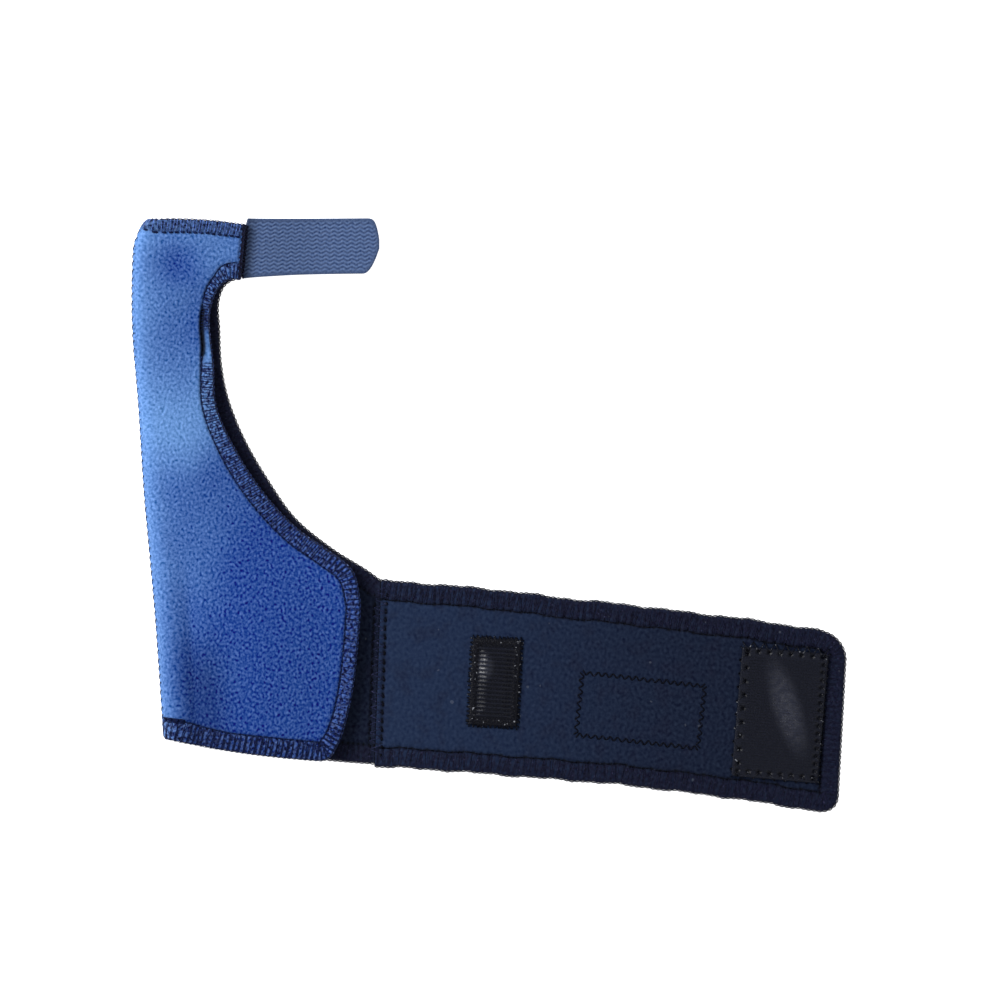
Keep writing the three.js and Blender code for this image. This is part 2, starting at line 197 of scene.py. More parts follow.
# How far the wrapped threads sink into the nap, as a share of their thickness: up, and share
FRONT_SINK = np.array([
    (0, 0.08), (0.03, 0.22), (0.08, 0.76), (0.22, 0.78), (0.3, 0.6), (0.38, 0.36), (0.48, 0.38),
    (0.56, 0.48), (0.7, 0.58), (0.8, 0.6), (0.86, 0.3), (0.9, 0.2),
])
THUMB_END_SINK = 0.62

# The hem's first stitches by the fold are sewn several times over: their length and places
HEM_CORNER = 10.5 * MM
CORNER_STRANDS = (-0.8 * MM, -0.4 * MM, 0.4 * MM, 0.8 * MM)
HEM_WIDENING = 1.9 * MM

# Flat seams: half the distance between their two needle rows, and the pitch of their stitches
WRIST_SEAM_ROW = 2.65 * MM
WRIST_SEAM_PITCH = 3.7 * MM
SIDE_SEAM_ROW = 2.6 * MM
SIDE_SEAM_PITCH = 3.5 * MM
THUMB_SEAM_ROW = 1.7 * MM
THUMB_SEAM_PITCH = 2.5 * MM

# How thick the threads of the wrist seam's two rows are, and how deep a stitch's foot goes
WRIST_PANEL_THREAD = 0.7 * MM
WRIST_STRAP_THREAD = 1.05 * MM
FOOT_DEPTH = 0.35 * MM

# Where the first stitch of a row lies, as a share of the pitch
STITCH_START = 0.6

# Half the width of the groove that a needle line draws, and how far beside it the cloth dips
GROOVE_REACH = 0.65 * MM
DIP_REACH = 2.2 * MM

# Half the width of the crease, and how far outside the needle line its middle lies
CREASE_REACH = 1.25 * MM
CREASE_OUTSIDE = 0.4 * MM

# Width of the strip of bare foam at a cut edge
FOAM_SHOWS = 0.3 * MM

# How much longer the nap's loops are across the cloth than up it
LOOP_STRETCH = 0.88

# Steps of the rounded cut edge, from its rim inwards, and of the cloth away from it
RIM_STEPS = np.array([0, 0.08, 0.25, 0.5, 0.85, 1.25, 1.7]) * MM
ROW_STEP = 0.8 * MM


# Curves and tables


def through(table, at, column=1):
    """A smooth curve of a column over the first one, through the table's rows"""
    keys, values = table[:, 0], table[:, column]
    before = np.maximum(np.arange(len(keys)) - 1, 0)
    after = np.minimum(np.arange(len(keys)) + 1, len(keys) - 1)
    slopes = (values[after] - values[before]) / (keys[after] - keys[before])
    x = np.clip(at, keys[0], keys[-1])
    i = np.clip(np.searchsorted(keys, x, side="right") - 1, 0, len(keys) - 2)
    step = keys[i + 1] - keys[i]
    t = (x - keys[i]) / step
    rise = values[i + 1] - values[i]
    a = slopes[i] * step - rise
    b = rise - slopes[i + 1] * step
    return values[i] + t * rise + t * (1 - t) * (a * (1 - t) + b * t)


def smooth(start, end, at):
    """An even rise from 0 at start to 1 at end, whichever is the larger"""
    t = np.clip((at - start) / (end - start), 0, 1)
    return t * t * (3 - 2 * t)


def lerp(a, b, t):
    """The value that lies a share t of the way from a to b"""
    return a + (b - a) * t


def unit(vectors):
    """Vectors brought to length 1"""
    return vectors / np.linalg.norm(vectors, axis=-1, keepdims=True)


def spline(points, steps=24):
    """Points close together on a smooth curve through the given ones"""
    ends = np.vstack([points[:1], points, points[-1:]])
    t = (np.arange(steps) / steps)[:, None]
    parts = []
    for a, b, c, d in zip(ends, ends[1:], ends[2:], ends[3:]):
        leave, reach = (c - a) / 2, (d - b) / 2
        bend = 2 * b - 2 * c + leave + reach
        parts.append(bend * t**3 + (3 * c - 3 * b - 2 * leave - reach) * t**2 + leave * t + b)
    return np.vstack([*parts, points[-1:]])


def runs(line):
    """How far along a line each of its points lies"""
    return np.concatenate([[0], np.cumsum(np.linalg.norm(np.diff(line, axis=0), axis=1))])


def at_run(line, wanted):
    """The points of a line at these distances along it"""
    run = runs(line)
    return np.stack([np.interp(wanted, run, column) for column in line.T], axis=-1)


def stations(length, step):
    """Distances from one cut edge to the other, close together at both"""
    inner = length - 2 * RIM_STEPS[-1]
    middle = np.linspace(RIM_STEPS[-1], length - RIM_STEPS[-1], round(inner / step) + 1)
    return np.concatenate([RIM_STEPS[:-1], middle, (length - RIM_STEPS[:-1])[::-1]])


def on_panel(table):
    """Plan points from rows of up and out"""
    return np.stack([table[:, 1] * FLAP_WIDTH, table[:, 0] * PANEL_HEIGHT], axis=1)


def leaning(degrees):
    """The direction up a line that leans this much from upright"""
    lean = np.radians(degrees)
    return np.stack([np.sin(lean), np.cos(lean)], axis=-1)


# Forms of the panels and straps, as grids of points at mid thickness


def fold_radius(up):
    """The radius of the fold at the side seam, at mid thickness"""
    return lerp(FOLD_AT_WRIST, FOLD_AT_THUMB, smooth(0.42, 0.74, up))


def leaf_height(x, y):
    """The front panel's height at mid thickness over a plan point inside the curl"""
    up = y / PANEL_HEIGHT
    radius = fold_radius(up)
    crest = LAMINATE / 2 + 2 * radius
    run = x - through(SIDE_SEAM, up) * FLAP_WIDTH - LAMINATE / 2 - radius
    share = np.clip(run / (through(LEAF_SECTIONS, up) * FLAP_WIDTH - radius), 0, 1)
    bulge = POCKET_SWELL * through(LEAF_SECTIONS, up, 2) * np.sin(np.pi * share) ** 2
    valley = VALLEY_DEPTH * np.exp(-3 * (run / VALLEY_REACH - 1) ** 2) * smooth(0.42, 0.2, up)
    lift = lerp(FLAP_LIFT, WEBBING + 2 * SEWN_GAP, smooth(0.72, 0.9, up))
    height = lerp(crest, 1.5 * LAMINATE + lift, smooth(0, 1, share)) + bulge - valley
    for dent_up, dent_out, reach, rise in DENTS:
        away = np.hypot(x - dent_out * FLAP_WIDTH, y - dent_up * PANEL_HEIGHT) / (reach * FLAP_WIDTH)
        height = height + rise * POCKET_SWELL * np.exp(-away * away) * smooth(0, radius, run)
    return height


FOLD_ANGLES = np.concatenate([[0, 0.012, 0.035, 0.07, 0.12], np.linspace(0.18, np.pi / 2, 12)[:-1]])
LEAF_WIDTH = FLAP_WIDTH - FOLD_AT_WRIST
LEAF_STEPS = np.concatenate([
    RIM_STEPS, np.arange(2.3, 9.5, 0.6) * MM, np.arange(10.4, 22, 1) * MM,
    np.linspace(23.6 * MM, LEAF_WIDTH, 42),
])


def panel(outline, side, height):
    """A panel's grid, whose rows run from the side seam to its outline. side is 1 where it curls down
    to the seam, and height gives the level of a plan point inside the curl."""
    length = runs(outline)[-1]
    shares = stations(length, ROW_STEP) / length
    end = at_run(outline, shares * length)
    seam = spline(on_panel(SIDE_SEAM))
    start = at_run(seam, shares * runs(seam)[-1])
    radius = fold_radius(start[:, 1] / PANEL_HEIGHT)[:, None]
    start = start + [LAMINATE / 2, 0]
    way = end - start
    width = np.linalg.norm(way, axis=1)[:, None]
    bend = radius * np.sin(FOLD_ANGLES) - BUTT_OVERLAP / 2 * np.cos(FOLD_ANGLES)
    leaf = radius + (width - radius) * (1 - LEAF_STEPS[::-1] / LEAF_WIDTH)
    reach = np.hstack([radius * (1 - np.cos(FOLD_ANGLES)), leaf])
    flat = start[:, None, :] + (way / width)[:, None, :] * reach[:, :, None]
    folded = len(FOLD_ANGLES)
    leaf_level = height(flat[:, folded:, 0], flat[:, folded:, 1])
    level = np.hstack([LAMINATE / 2 + radius + side * bend, leaf_level])
    bow = THUMB_END_BOW * shares**6 - HEM_BOW * (1 - shares) ** 6
    t = np.clip((flat[:, :, 0] - start[:, :1]) / way[:, :1], 0, 1)
    flat[:, :, 1] += bow[:, None] * 4 * t * (1 - t)
    return np.concatenate([flat, level[:, :, None]], axis=2)


def front_outline():
    """The front panel's outline, and where along it the thumb strap's seam starts"""
    edge = spline(on_panel(FRONT_EDGE))
    return np.vstack([edge, on_panel(FRONT_THUMB_CORNER)]), runs(edge)[-1]


def back_outline():
    """The back panel's outline, and where along it the wrist seam ends"""
    up = leaning(WRIST_SEAM_LEAN)
    low = WRIST_SEAM - up * STRAP_WIDTH / 2
    high = WRIST_SEAM + up * STRAP_WIDTH / 2

    def on_back(table):
        """Plan points from rows of rise above the strap and out"""
        return np.stack([table[:, 1] * FLAP_WIDTH, lerp(high[1], PANEL_HEIGHT, table[:, 0])], axis=1)

    edge = spline(np.vstack([high[None], on_back(BACK_EDGE)]))
    return np.vstack([low[None], edge, on_back(BACK_THUMB_CORNER)]), np.linalg.norm(high - low)


def strap_point(sections, length, width, start, leans, distance, offset):
    """A plan point of a strap, at a distance along its middle line and an offset up across it"""
    along = np.maximum(distance, 0) / length
    middle = np.stack([distance, -through(sections, along) * width], axis=-1) + start
    return middle + leaning(lerp(leans[0], leans[1], along)) * np.asarray(offset)[..., None]


def wrist_strap_point(distance, offset):
    """A plan point of the wrist strap"""
    leans = (WRIST_SEAM_LEAN, STRAP_END_LEAN)
    return strap_point(STRAP_SECTIONS, STRAP_LENGTH, STRAP_WIDTH, STRAP_START, leans, distance, offset)


def thumb_strap_point(distance, offset):
    """A plan point of the thumb strap, which starts square to the front panel's edge"""
    low, high = on_panel(FRONT_EDGE)[-1], on_panel(FRONT_THUMB_CORNER)[0]
    start = (low + high) / 2 + [0, THUMB_STRAP_RISE]
    lean = np.degrees(np.arctan2(*(high - low)))
    sizes = (THUMB_STRAP_SECTIONS, THUMB_STRAP_LENGTH, THUMB_STRAP_WIDTH)
    return strap_point(*sizes, start, (lean, 0), distance, offset)


def wrist_strap_grid():
    """The wrist strap's grid, with its end's corners rounded and its cut edges wandering a little"""
    corner = max(UPPER_CORNER, LOWER_CORNER)
    straight = stations(2 * STRAP_LENGTH, ROW_STEP)
    turn = np.sin(np.linspace(0, np.pi / 2, 22))
    straight = straight[straight < STRAP_LENGTH - corner]
    before = (STRAP_START - WRIST_SEAM)[0] + BUTT_OVERLAP
    straight = straight - before * (1 - straight / STRAP_LENGTH)
    distance = np.concatenate([straight, STRAP_LENGTH - corner + corner * turn])
    half = through(STRAP_SECTIONS, distance / STRAP_LENGTH, 2) * STRAP_WIDTH / 2

    def rounded(radius):
        """Half the strap's width, less the round of its end's corner"""
        into = np.maximum(radius - (STRAP_LENGTH - distance), 0)
        return half - radius + np.sqrt(radius * radius - into * into)

    side = stations(STRAP_WIDTH, 0.9 * MM)[:, None] / STRAP_WIDTH * 2 - 1
    offset = side * np.where(side > 0, rounded(UPPER_CORNER), rounded(LOWER_CORNER))
    wander = sum(
        size * np.sin(2 * np.pi * distance / length + np.where(side > 0, start, 3 * start))
        for size, length, start in EDGE_WANDER
    )
    offset = offset + wander * side**5 * smooth(0, 12 * MM, STRAP_LENGTH - distance)
    flat = wrist_strap_point(np.broadcast_to(distance, offset.shape), offset)
    return np.concatenate([flat, np.full((*offset.shape, 1), LAMINATE / 2)], axis=2)


def thumb_strap_grid():
    """The thumb strap's grid, and how far along and across the tape its points lie"""
    plain = THUMB_STRAP_LENGTH - THUMB_STRAP_NOSE
    body = np.concatenate([RIM_STEPS[:4] - TONGUE_LENGTH, np.arange(-4.2 * MM, plain, 0.36 * MM)])
    turn = np.sin(np.linspace(0, np.pi / 2, 30))
    distance = np.concatenate([body, plain + THUMB_STRAP_NOSE * turn])
    half = through(THUMB_STRAP_SECTIONS, np.maximum(distance, 0) / THUMB_STRAP_LENGTH, 2)
    half = lerp(TONGUE_WIDTH / 2, half * THUMB_STRAP_WIDTH / 2, smooth(-0.4 * MM, 0.4 * MM, distance))
    into = NOSE_TIP * np.maximum(distance - plain, 0) / THUMB_STRAP_NOSE
    side = stations(THUMB_STRAP_WIDTH, 0.29 * MM)[:, None] / THUMB_STRAP_WIDTH * 2 - 1
    offset = side * np.where(side > 0, half * (1 - into**5), half * (1 - into**2))
    flat = thumb_strap_point(np.broadcast_to(distance, offset.shape), offset)
    sewn = LAMINATE + SEWN_GAP + WEBBING / 2
    down = smooth(LAMINATE / 2, LAMINATE / 2 + DRAPE_LENGTH, distance)
    level = np.broadcast_to(lerp(sewn, WEBBING / 2, down), offset.shape)
    return np.concatenate([flat, level[:, :, None]], axis=2), distance, offset


# Meshes


def add_mesh(name, points, faces, materials, face_materials=None, fields=None):
    """A smooth piece on the root body. points are measured on the plan."""
    mesh = bpy.data.meshes.new(name)
    mesh.from_pydata((np.asarray(points) + PLAN).tolist(), [], faces)
    for material in materials:
        mesh.materials.append(material)
    if face_materials is not None:
        mesh.polygons.foreach_set("material_index", np.asarray(face_materials, np.int32))
    for key, values in (fields or {}).items():
        data = mesh.attributes.new(key, "FLOAT", "POINT").data
        data.foreach_set("value", np.asarray(values, np.float32))
    mesh.shade_smooth()
    mesh.update()
    piece = bpy.data.objects.new(name, mesh)
    bpy.context.scene.collection.objects.link(piece)
    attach(piece, "root")
    return piece


class Surface:
    """A grid of points at mid thickness, with its normals, on which stitches can be laid"""

    def __init__(self, grid):
        self.grid = grid
        across = np.gradient(grid, axis=1)
        upward = np.gradient(grid, axis=0)
        self.normals = unit(np.cross(across, upward))
        rows, columns = grid.shape[:2]
        index = np.arange(rows * columns).reshape(rows, columns)
        self.quads = self.corners(index)
        self.tree = BVHTree.FromPolygons(grid.reshape(-1, 3).tolist(), self.quads.tolist())

    @staticmethod
    def corners(index):
        """The four corners of each of a grid's quads"""
        low, high = index[:-1], index[1:]
        return np.stack([low[:, :-1], low[:, 1:], high[:, 1:], high[:, :-1]], axis=-1).reshape(-1, 4)

    def across(self):
        """How far across the cloth each point lies, measured along its rows"""
        steps = np.linalg.norm(np.diff(self.grid, axis=1), axis=2)
        return self.grid[:, :1, 0] + np.hstack([0 * steps[:, :1], np.cumsum(steps, axis=1)])

    def walk(self, start, way, reach, steps):
        """Points and normals on a straight walk over the surface from start"""
        here, way = Vector(start), Vector(way)
        points, normals = [here], []
        for _ in range(steps):
            place, normal, _, _ = self.tree.find_nearest(here + way * (reach / steps))
            if (place - here).length > 1e-7:
                way = (place - here).normalized()
            here = place
            points.append(here)
            normals.append(normal)
        return np.array(points), np.array([normals[0], *normals])

    def closed(self, upper, lower):
        """The points and quads of a closed sheet, from its two faces' heights over mid thickness.
        Both faces share the points of the outline."""
        rows, columns = self.grid.shape[:2]
        top = np.arange(rows * columns).reshape(rows, columns)
        below = top.copy()
        inner = (rows - 2) * (columns - 2)
        below[1:-1, 1:-1] = rows * columns + np.arange(inner).reshape(rows - 2, columns - 2)
        above_points = self.grid + self.normals * upper[:, :, None]
        below_points = (self.grid - self.normals * lower[:, :, None])[1:-1, 1:-1]
        points = np.vstack([above_points.reshape(-1, 3), below_points.reshape(-1, 3)])
        quads = np.vstack([self.corners(top), self.corners(below)[:, ::-1]])
        return points, quads

    @staticmethod
    def on_both(values):
        """A field of the grid, for the points of both faces"""
        return np.concatenate([values.ravel(), values[1:-1, 1:-1].ravel()])


def line_field(points, line):
    """Each point's distance from a line, and how far along it the nearest place lies"""
    tree = KDTree(len(line))
    for k, p in enumerate(line):
        tree.insert(p, k)
    tree.balance()
    near = np.array([tree.find(p)[1] for p in points])
    run = runs(line)
    best = np.full(len(points), np.inf)
    place = np.zeros(len(points))
    for first in (np.maximum(near - 1, 0), np.minimum(near, len(line) - 2)):
        a, b = line[first], line[first + 1]
        span = b - a
        t = np.clip(((points - a) * span).sum(axis=1) / (span * span).sum(axis=1), 0, 1)
        away = np.linalg.norm(points - a - span * t[:, None], axis=1)
        closer = away < best
        best = np.where(closer, away, best)
        place = np.where(closer, run[first] + t * (run[first + 1] - run[first]), place)
    return best, place


def rounding(inside, thickness, reach=None):
    """Half the thickness of a sheet at a distance inside its cut edge, which is rounded over a reach"""
    share = np.clip(inside / (reach or thickness / 2), 0, 1)
    return thickness / 2 * np.sqrt(1 - (1 - share) ** 2)


# A direction along which no thread runs
ODD_WAY = (0.12, 0.31, 0.94)


def thread_mesh(name, strands, thickness, material, sides=6, fields=None):
    """Round threads with closed ends. Each of strands is an array of paths, each a row of points, and
    fields are values that are the same all over them."""
    points, faces, count = [], [], 0
    turn = np.linspace(0, 2 * np.pi, sides, endpoint=False)[:, None]
    for paths in strands:
        number, length = paths.shape[:2]
        paths[:, :, 2] = np.maximum(paths[:, :, 2], thickness / 2)
        ahead = unit(np.gradient(paths, axis=1))
        aside = np.cross(ahead[:, 0], ODD_WAY)
        rings = np.empty((number, length, sides, 3))
        for k in range(length):
            aside = unit(aside - (aside * ahead[:, k]).sum(axis=1, keepdims=True) * ahead[:, k])
            other = np.cross(ahead[:, k], aside)
            rings[:, k] = aside[:, None] * np.cos(turn) + other[:, None] * np.sin(turn)
        rings = paths[:, :, None] + rings * thickness / 2
        points += [rings.reshape(-1, 3), paths[:, [0, -1]].reshape(-1, 3)]
        ring = count + np.arange(number * length * sides).reshape(number, length, sides)
        tips = count + ring.size + np.arange(number * 2).reshape(number, 2)
        turned = np.roll(ring, -1, axis=2)
        quads = np.stack([ring[:, :-1], turned[:, :-1], turned[:, 1:], ring[:, 1:]], axis=-1)
        faces += quads.reshape(-1, 4).tolist()
        for end, (a, b) in enumerate([(turned[:, 0], ring[:, 0]), (ring[:, -1], turned[:, -1])]):
            tip = np.broadcast_to(tips[:, end, None], a.shape)
            faces += np.stack([tip, a, b], axis=-1).reshape(-1, 3).tolist()
        count += ring.size + tips.size
    points = np.vstack(points)
    fields = {key: np.full(len(points), value) for key, value in (fields or {}).items()}
    return add_mesh(name, points, faces, [material], None, fields)


# Overlocked edges


# How far the wrapped strands lean from square to the edge, in radians, their steps across the band,
# and how many of these they have on the lower face
STRAND_LEAN = 0.1
STRAND_STEPS = 9
STRAND_UNDER = 7


class SewnEdge:
    """A sewn edge, whose line runs anticlockwise round the sheet at mid thickness. bands is a table of
    how far up the panel the line is and how wide the sewn band is there, sinks one of how far the
    wrapped threads sink in there, and widening how much wider the band is at the line's start."""

    def __init__(self, surface, line, bands, pitch, sewing, sinks=((0, 0.35),), widening=0.0):
        self.surface = surface
        self.line = line
        self.runs = runs(line)
        self.length = self.runs[-1]
        self.bands = np.array(bands)
        self.sinks = np.array(sinks)
        self.pitch = pitch
        self.sewing = sewing
        self.widening = widening

    def up(self, run):
        """How far up the panel the line is, as a share of the panel's height"""
        return np.interp(run, self.runs, self.line[:, 1]) / PANEL_HEIGHT

    def band(self, run):
        """The band's width at a distance along the line"""
        width = np.interp(self.up(run), self.bands[:, 0], self.bands[:, 1])
        return width + self.widening * smooth(34 * MM, 12 * MM, run)

    def cloth(self, inside, run, side=1):
        """How far the upper or the lower face lies from mid thickness"""
        inside = np.asarray(inside, float)
        groove, pucker = side_relief(self.sewing, side)
        half = rounding(inside, LAMINATE)
        stitch = run / self.pitch - STITCH_START
        return half - sewn_relief(inside, stitch, self.band(run), groove, pucker) * half / (LAMINATE / 2)

    def inward(self, run, lean, reach, steps):
        """A walk from the edge into the sheet, leaning from square by an angle"""
        here = at_run(self.line, run)
        ahead = at_run(self.line, min(run + 0.6 * MM, self.length))
        back = at_run(self.line, max(run - 0.6 * MM, 0))
        tangent = unit(ahead - back)
        _, normal, _, _ = self.surface.tree.find_nearest(Vector(here))
        way = np.cross(np.array(normal), tangent)
        way = way * math.cos(lean) + tangent * math.sin(lean)
        return self.surface.walk(here, way, reach, steps)

    def over_the_edge(self, run, lean, thread, random):
        """One strand from the needle line, over the edge and back on the lower face"""
        under = STRAND_UNDER
        band = self.band(run)
        points, normals = self.inward(run, lean, band, STRAND_STEPS)
        inside = np.linspace(0, band, STRAND_STEPS + 1)
        sink = np.interp(self.up(run), self.sinks[:, 0], self.sinks[:, 1])
        lift = thread * (0.5 - sink) + random.normal(0, 0.14 * thread, STRAND_STEPS + 1)
        upper = self.cloth(inside, run) + lift
        lower = self.cloth(inside, run, -1) + thread * 0.2
        upper[-1] -= thread
        outward = unit(points[0] - points[1])
        half = LAMINATE / 2
        corner = points[0] - outward * half
        top = [p + n * h for p, n, h in zip(points[:1:-1], normals[:1:-1], upper[:1:-1])]
        turn = []
        for angle in np.radians([62, 31, 0, -31, -62]):
            rise = (upper[2] if angle > 0 else lower[2]) * math.sin(angle)
            turn.append(corner + outward * math.cos(angle) * (half + lift[0]) + normals[0] * rise)
        low = [p - n * h for p, n, h in zip(points[2:under], normals[2:under], lower[2:under])]
        low.append(points[under] - normals[under] * (lower[under] - thread))
        return top + turn + low

    def overlock(self, random, thread, strands, spread, bare=None, late=0.0, first=0, last=None):
        """Paths of the strands that wrap the edge at each stitch, but for a bare stretch. late is how
        far past the stitch they lie, as a share of the pitch, and only the stitches from first up to
        last are made."""
        paths = []
        stitches = np.arange(self.pitch * STITCH_START, self.length - self.pitch * 0.4, self.pitch)
        for run in stitches[first:last]:
            if bare and bare[0] < self.up(run) < bare[1]:
                continue
            for k in range(strands):
                aside = (k - (strands - 1) / 2) * spread
                shift = late * self.pitch + aside + random.normal(0, 0.03 * MM)
                at = float(np.clip(run + shift, 0, self.length))
                lean = STRAND_LEAN + random.normal(0, 0.03)
                paths.append(self.over_the_edge(at, lean, thread, random))
        return np.array(paths)

    def needle_row(self, random, thread, rise, bare=None, aside=0.0, until=None, dash=(0.05, 0.95)):
        """Paths of the short stitches along the needle line, or aside of it, up to until. rise is how
        high they stand, as a share of the thread, and dash the stretch of the pitch that one covers."""
        paths = []
        share = np.linspace(0, 1, 7)
        lift = thread * (rise - 0.9 + 0.9 * np.sin(np.pi * share) ** 0.6)
        end = until or self.length - self.pitch
        for run in np.arange(self.pitch * STITCH_START, end - self.pitch * 0.4, self.pitch):
            if bare and bare[0] < self.up(run) < bare[1]:
                continue
            path = []
            for t, lifted in zip(share, lift):
                at = run + self.pitch * lerp(*dash, t)
                inside = self.band(at) + aside
                points, normals = self.inward(at, 0, inside, 4)
                path.append(points[-1] + normals[-1] * (self.cloth(inside, at) + lifted))
            paths.append(np.array(path) + random.normal(0, 0.06 * MM, 3))
        return np.array(paths)

    def purl(self, random, thread):
        """The path of the thread that locks the loops along the rim"""
        number = int(self.length / self.pitch * 6)
        run = np.linspace(0.2 * MM, self.length - 0.2 * MM, number)
        line = at_run(self.line, run)
        tangent = unit(np.gradient(line, axis=0))
        normals = np.array([np.array(self.surface.tree.find_nearest(Vector(p))[1]) for p in line])
        outward = np.cross(tangent, normals)
        wave = np.sin(2 * np.pi * run / self.pitch)[:, None]
        bulge = np.abs(np.sin(np.pi * run / self.pitch))[:, None]
        wobble = random.normal(0, 0.04 * MM, (number, 1))
        return (line + outward * (thread * 0.9 * bulge) + normals * (wave * 0.7 * MM + wobble))[None]


def sewn_fields(points, edges):
    """For each point: the distance inside the nearest sewn edge, the place along it in stitches, and
    the band's width there"""
    inside = np.full(len(points), 1.0)
    run = np.zeros(len(points))
    band = np.full(len(points), 8 * MM)
    for number, edge in enumerate(edges):
        away, place = line_field(points, edge.line)
        closer = away < inside
        inside = np.where(closer, away, inside)
        band = np.where(closer, edge.band(place), band)
        run = np.where(closer, place / edge.pitch - STITCH_START + 1000 * number, run)
    return inside, run, band


def side_relief(sewing, side):
    """The groove's depth and the puckers' height on the upper or the lower face"""
    return (sewing.groove, sewing.pucker) if side > 0 else (0.6 * sewing.groove, 0.5 * sewing.pucker)


def sewn_relief(inside, run, band, groove, pucker, deep=1.0):
    """How far the cloth is drawn in along the needle line, most at each stitch, and how it puckers"""
    off = inside - band
    beat = np.cos(2 * np.pi * run)
    line = groove * deep * np.exp(-((off / GROOVE_REACH) ** 2)) * (1 + 0.25 * beat)
    outer = np.exp(-np.maximum(off, 0) / DIP_REACH)
    shoulder = 0.6 * groove * np.where(off > 0, outer, 1 - 0.4 * smooth(0, 1, -off / band))
    fold = pucker * beat * smooth(0, 0.3, inside / band) * smooth(1.25, 0.95, inside / band)
    return line + shoulder + fold


# Materials


def node(tree, kind, inputs=None, **settings):
    """A new node with its settings, and its inputs linked or set"""
    made = tree.nodes.new(kind)
    for name, value in settings.items():
        setattr(made, name, value)
    for name, value in (inputs or {}).items():
        if isinstance(value, bpy.types.NodeSocket):
            tree.links.new(value, made.inputs[name])
        else:
            made.inputs[name].default_value = value
    return made


def calculate(tree, operation, *values):
    """The value of a Math node"""
    return node(tree, "ShaderNodeMath", dict(enumerate(values)), operation=operation).outputs[0]


def combine(tree, operation, first, second, output=0):
    """An output of a Vector Math node: 0 is its vector and 1 its value"""
    made = node(tree, "ShaderNodeVectorMath", {0: first, 1: second}, operation=operation)
    return made.outputs[output]


def scaled(tree, colour, shade):
    """A colour made lighter or darker by a factor"""
    return node(tree, "ShaderNodeVectorMath", {0: colour, "Scale": shade}, operation="SCALE").outputs[0]


def blend(tree, share, a, b):
    """A colour between two others"""
    made = node(tree, "ShaderNodeMix", {0: share, 6: a, 7: b}, data_type="RGBA")
    return made.outputs[2]


def remap(tree, value, low, high, to_low=0.0, to_high=1.0, kind="SMOOTHSTEP"):
    """A value moved from one range to another and kept inside it"""
    inputs = {"Value": value, "From Min": low, "From Max": high, "To Min": to_low, "To Max": to_high}
    return node(tree, "ShaderNodeMapRange", inputs, interpolation_type=kind).outputs[0]


def noise(tree, vector, scale, detail=2.0, roughness=0.5):
    """The value of a Noise texture"""
    inputs = {"Vector": vector, "Scale": scale, "Detail": detail, "Roughness": roughness}
    return node(tree, "ShaderNodeTexNoise", inputs).outputs[0]


def field(tree, name):
    """A field of the mesh"""
    return node(tree, "ShaderNodeAttribute", attribute_name=name).outputs["Fac"]


def group(name, inputs, outputs):
    """A new node group, its tree, its inputs by name, and the node that its outputs go to"""
    tree = bpy.data.node_groups.new(name, "ShaderNodeTree")
    for socket, (kind, default) in inputs.items():
        made = tree.interface.new_socket(socket, in_out="INPUT", socket_type=kind)
        if default is not None:
            made.default_value = default
    for socket, kind in outputs.items():
        tree.interface.new_socket(socket, in_out="OUTPUT", socket_type=kind)
    return tree, tree.nodes.new("NodeGroupInput").outputs, tree.nodes.new("NodeGroupOutput").inputs


def finish_group(tree, sockets, results):
    """A node group's tree, once its results are linked to its outputs"""
    for name, value in results.items():
        tree.links.new(value, sockets[name])
    return tree


FLOAT, VECTOR = "NodeSocketFloat", "NodeSocketVector"


def nap_group():
    """The even grain of looped cloth, about 0, and a height for the bump"""
    if "Brushed nap" in bpy.data.node_groups:
        return bpy.data.node_groups["Brushed nap"]
    tree, given, out = group(
        "Brushed nap",
        {"Vector": (VECTOR, None), "Loops": (FLOAT, 440.0), "Fibres": (FLOAT, 1300.0)},
        {"Grain": FLOAT, "Height": FLOAT},
    )
    waves = {"Vector": given["Vector"], "Scale": given["Loops"], "Frequency": 1.1, "Anisotropy": 0.0}
    loops = node(tree, "ShaderNodeTexGabor", waves, gabor_type="2D").outputs["Value"]
    fibres = noise(tree, given["Vector"], given["Fibres"], 1.0, 0.6)
    grain = remap(tree, loops, 0.2, 0.8, -1, 1, "LINEAR")
    grain = calculate(tree, "ADD", grain, remap(tree, fibres, 0.3, 0.7, -0.5, 0.5, "LINEAR"))
    height = calculate(tree, "MULTIPLY_ADD", fibres, 0.35, loops)
    return finish_group(tree, out, {"Grain": grain, "Height": height})


def band_group():
    """What sewing does to cloth: masks for the needle line, its holes, and the band of wrapped threads"""
    if "Sewn band" in bpy.data.node_groups:
        return bpy.data.node_groups["Sewn band"]
    tree, given, out = group(
        "Sewn band",
        {
            "Inside": (FLOAT, 1.0), "Run": (FLOAT, 0.0), "Band": (FLOAT, 0.008),
            "Line Width": (FLOAT, 0.0009), "Hole Size": (FLOAT, 0.5),
        },
        {"Line": FLOAT, "Holes": FLOAT, "Band": FLOAT},
    )
    off = calculate(tree, "SUBTRACT", given["Inside"], given["Band"])
    away = calculate(tree, "ABSOLUTE", off)
    line = remap(tree, away, given["Line Width"], 0.0)
    beat = calculate(tree, "COSINE", calculate(tree, "MULTIPLY", given["Run"], 2 * math.pi))
    dots = remap(tree, beat, given["Hole Size"], 1.0)
    holes = calculate(tree, "MULTIPLY", dots, line)
    band = remap(tree, off, 0.0004, -0.0006)
    return finish_group(tree, out, {"Line": line, "Holes": holes, "Band": band})


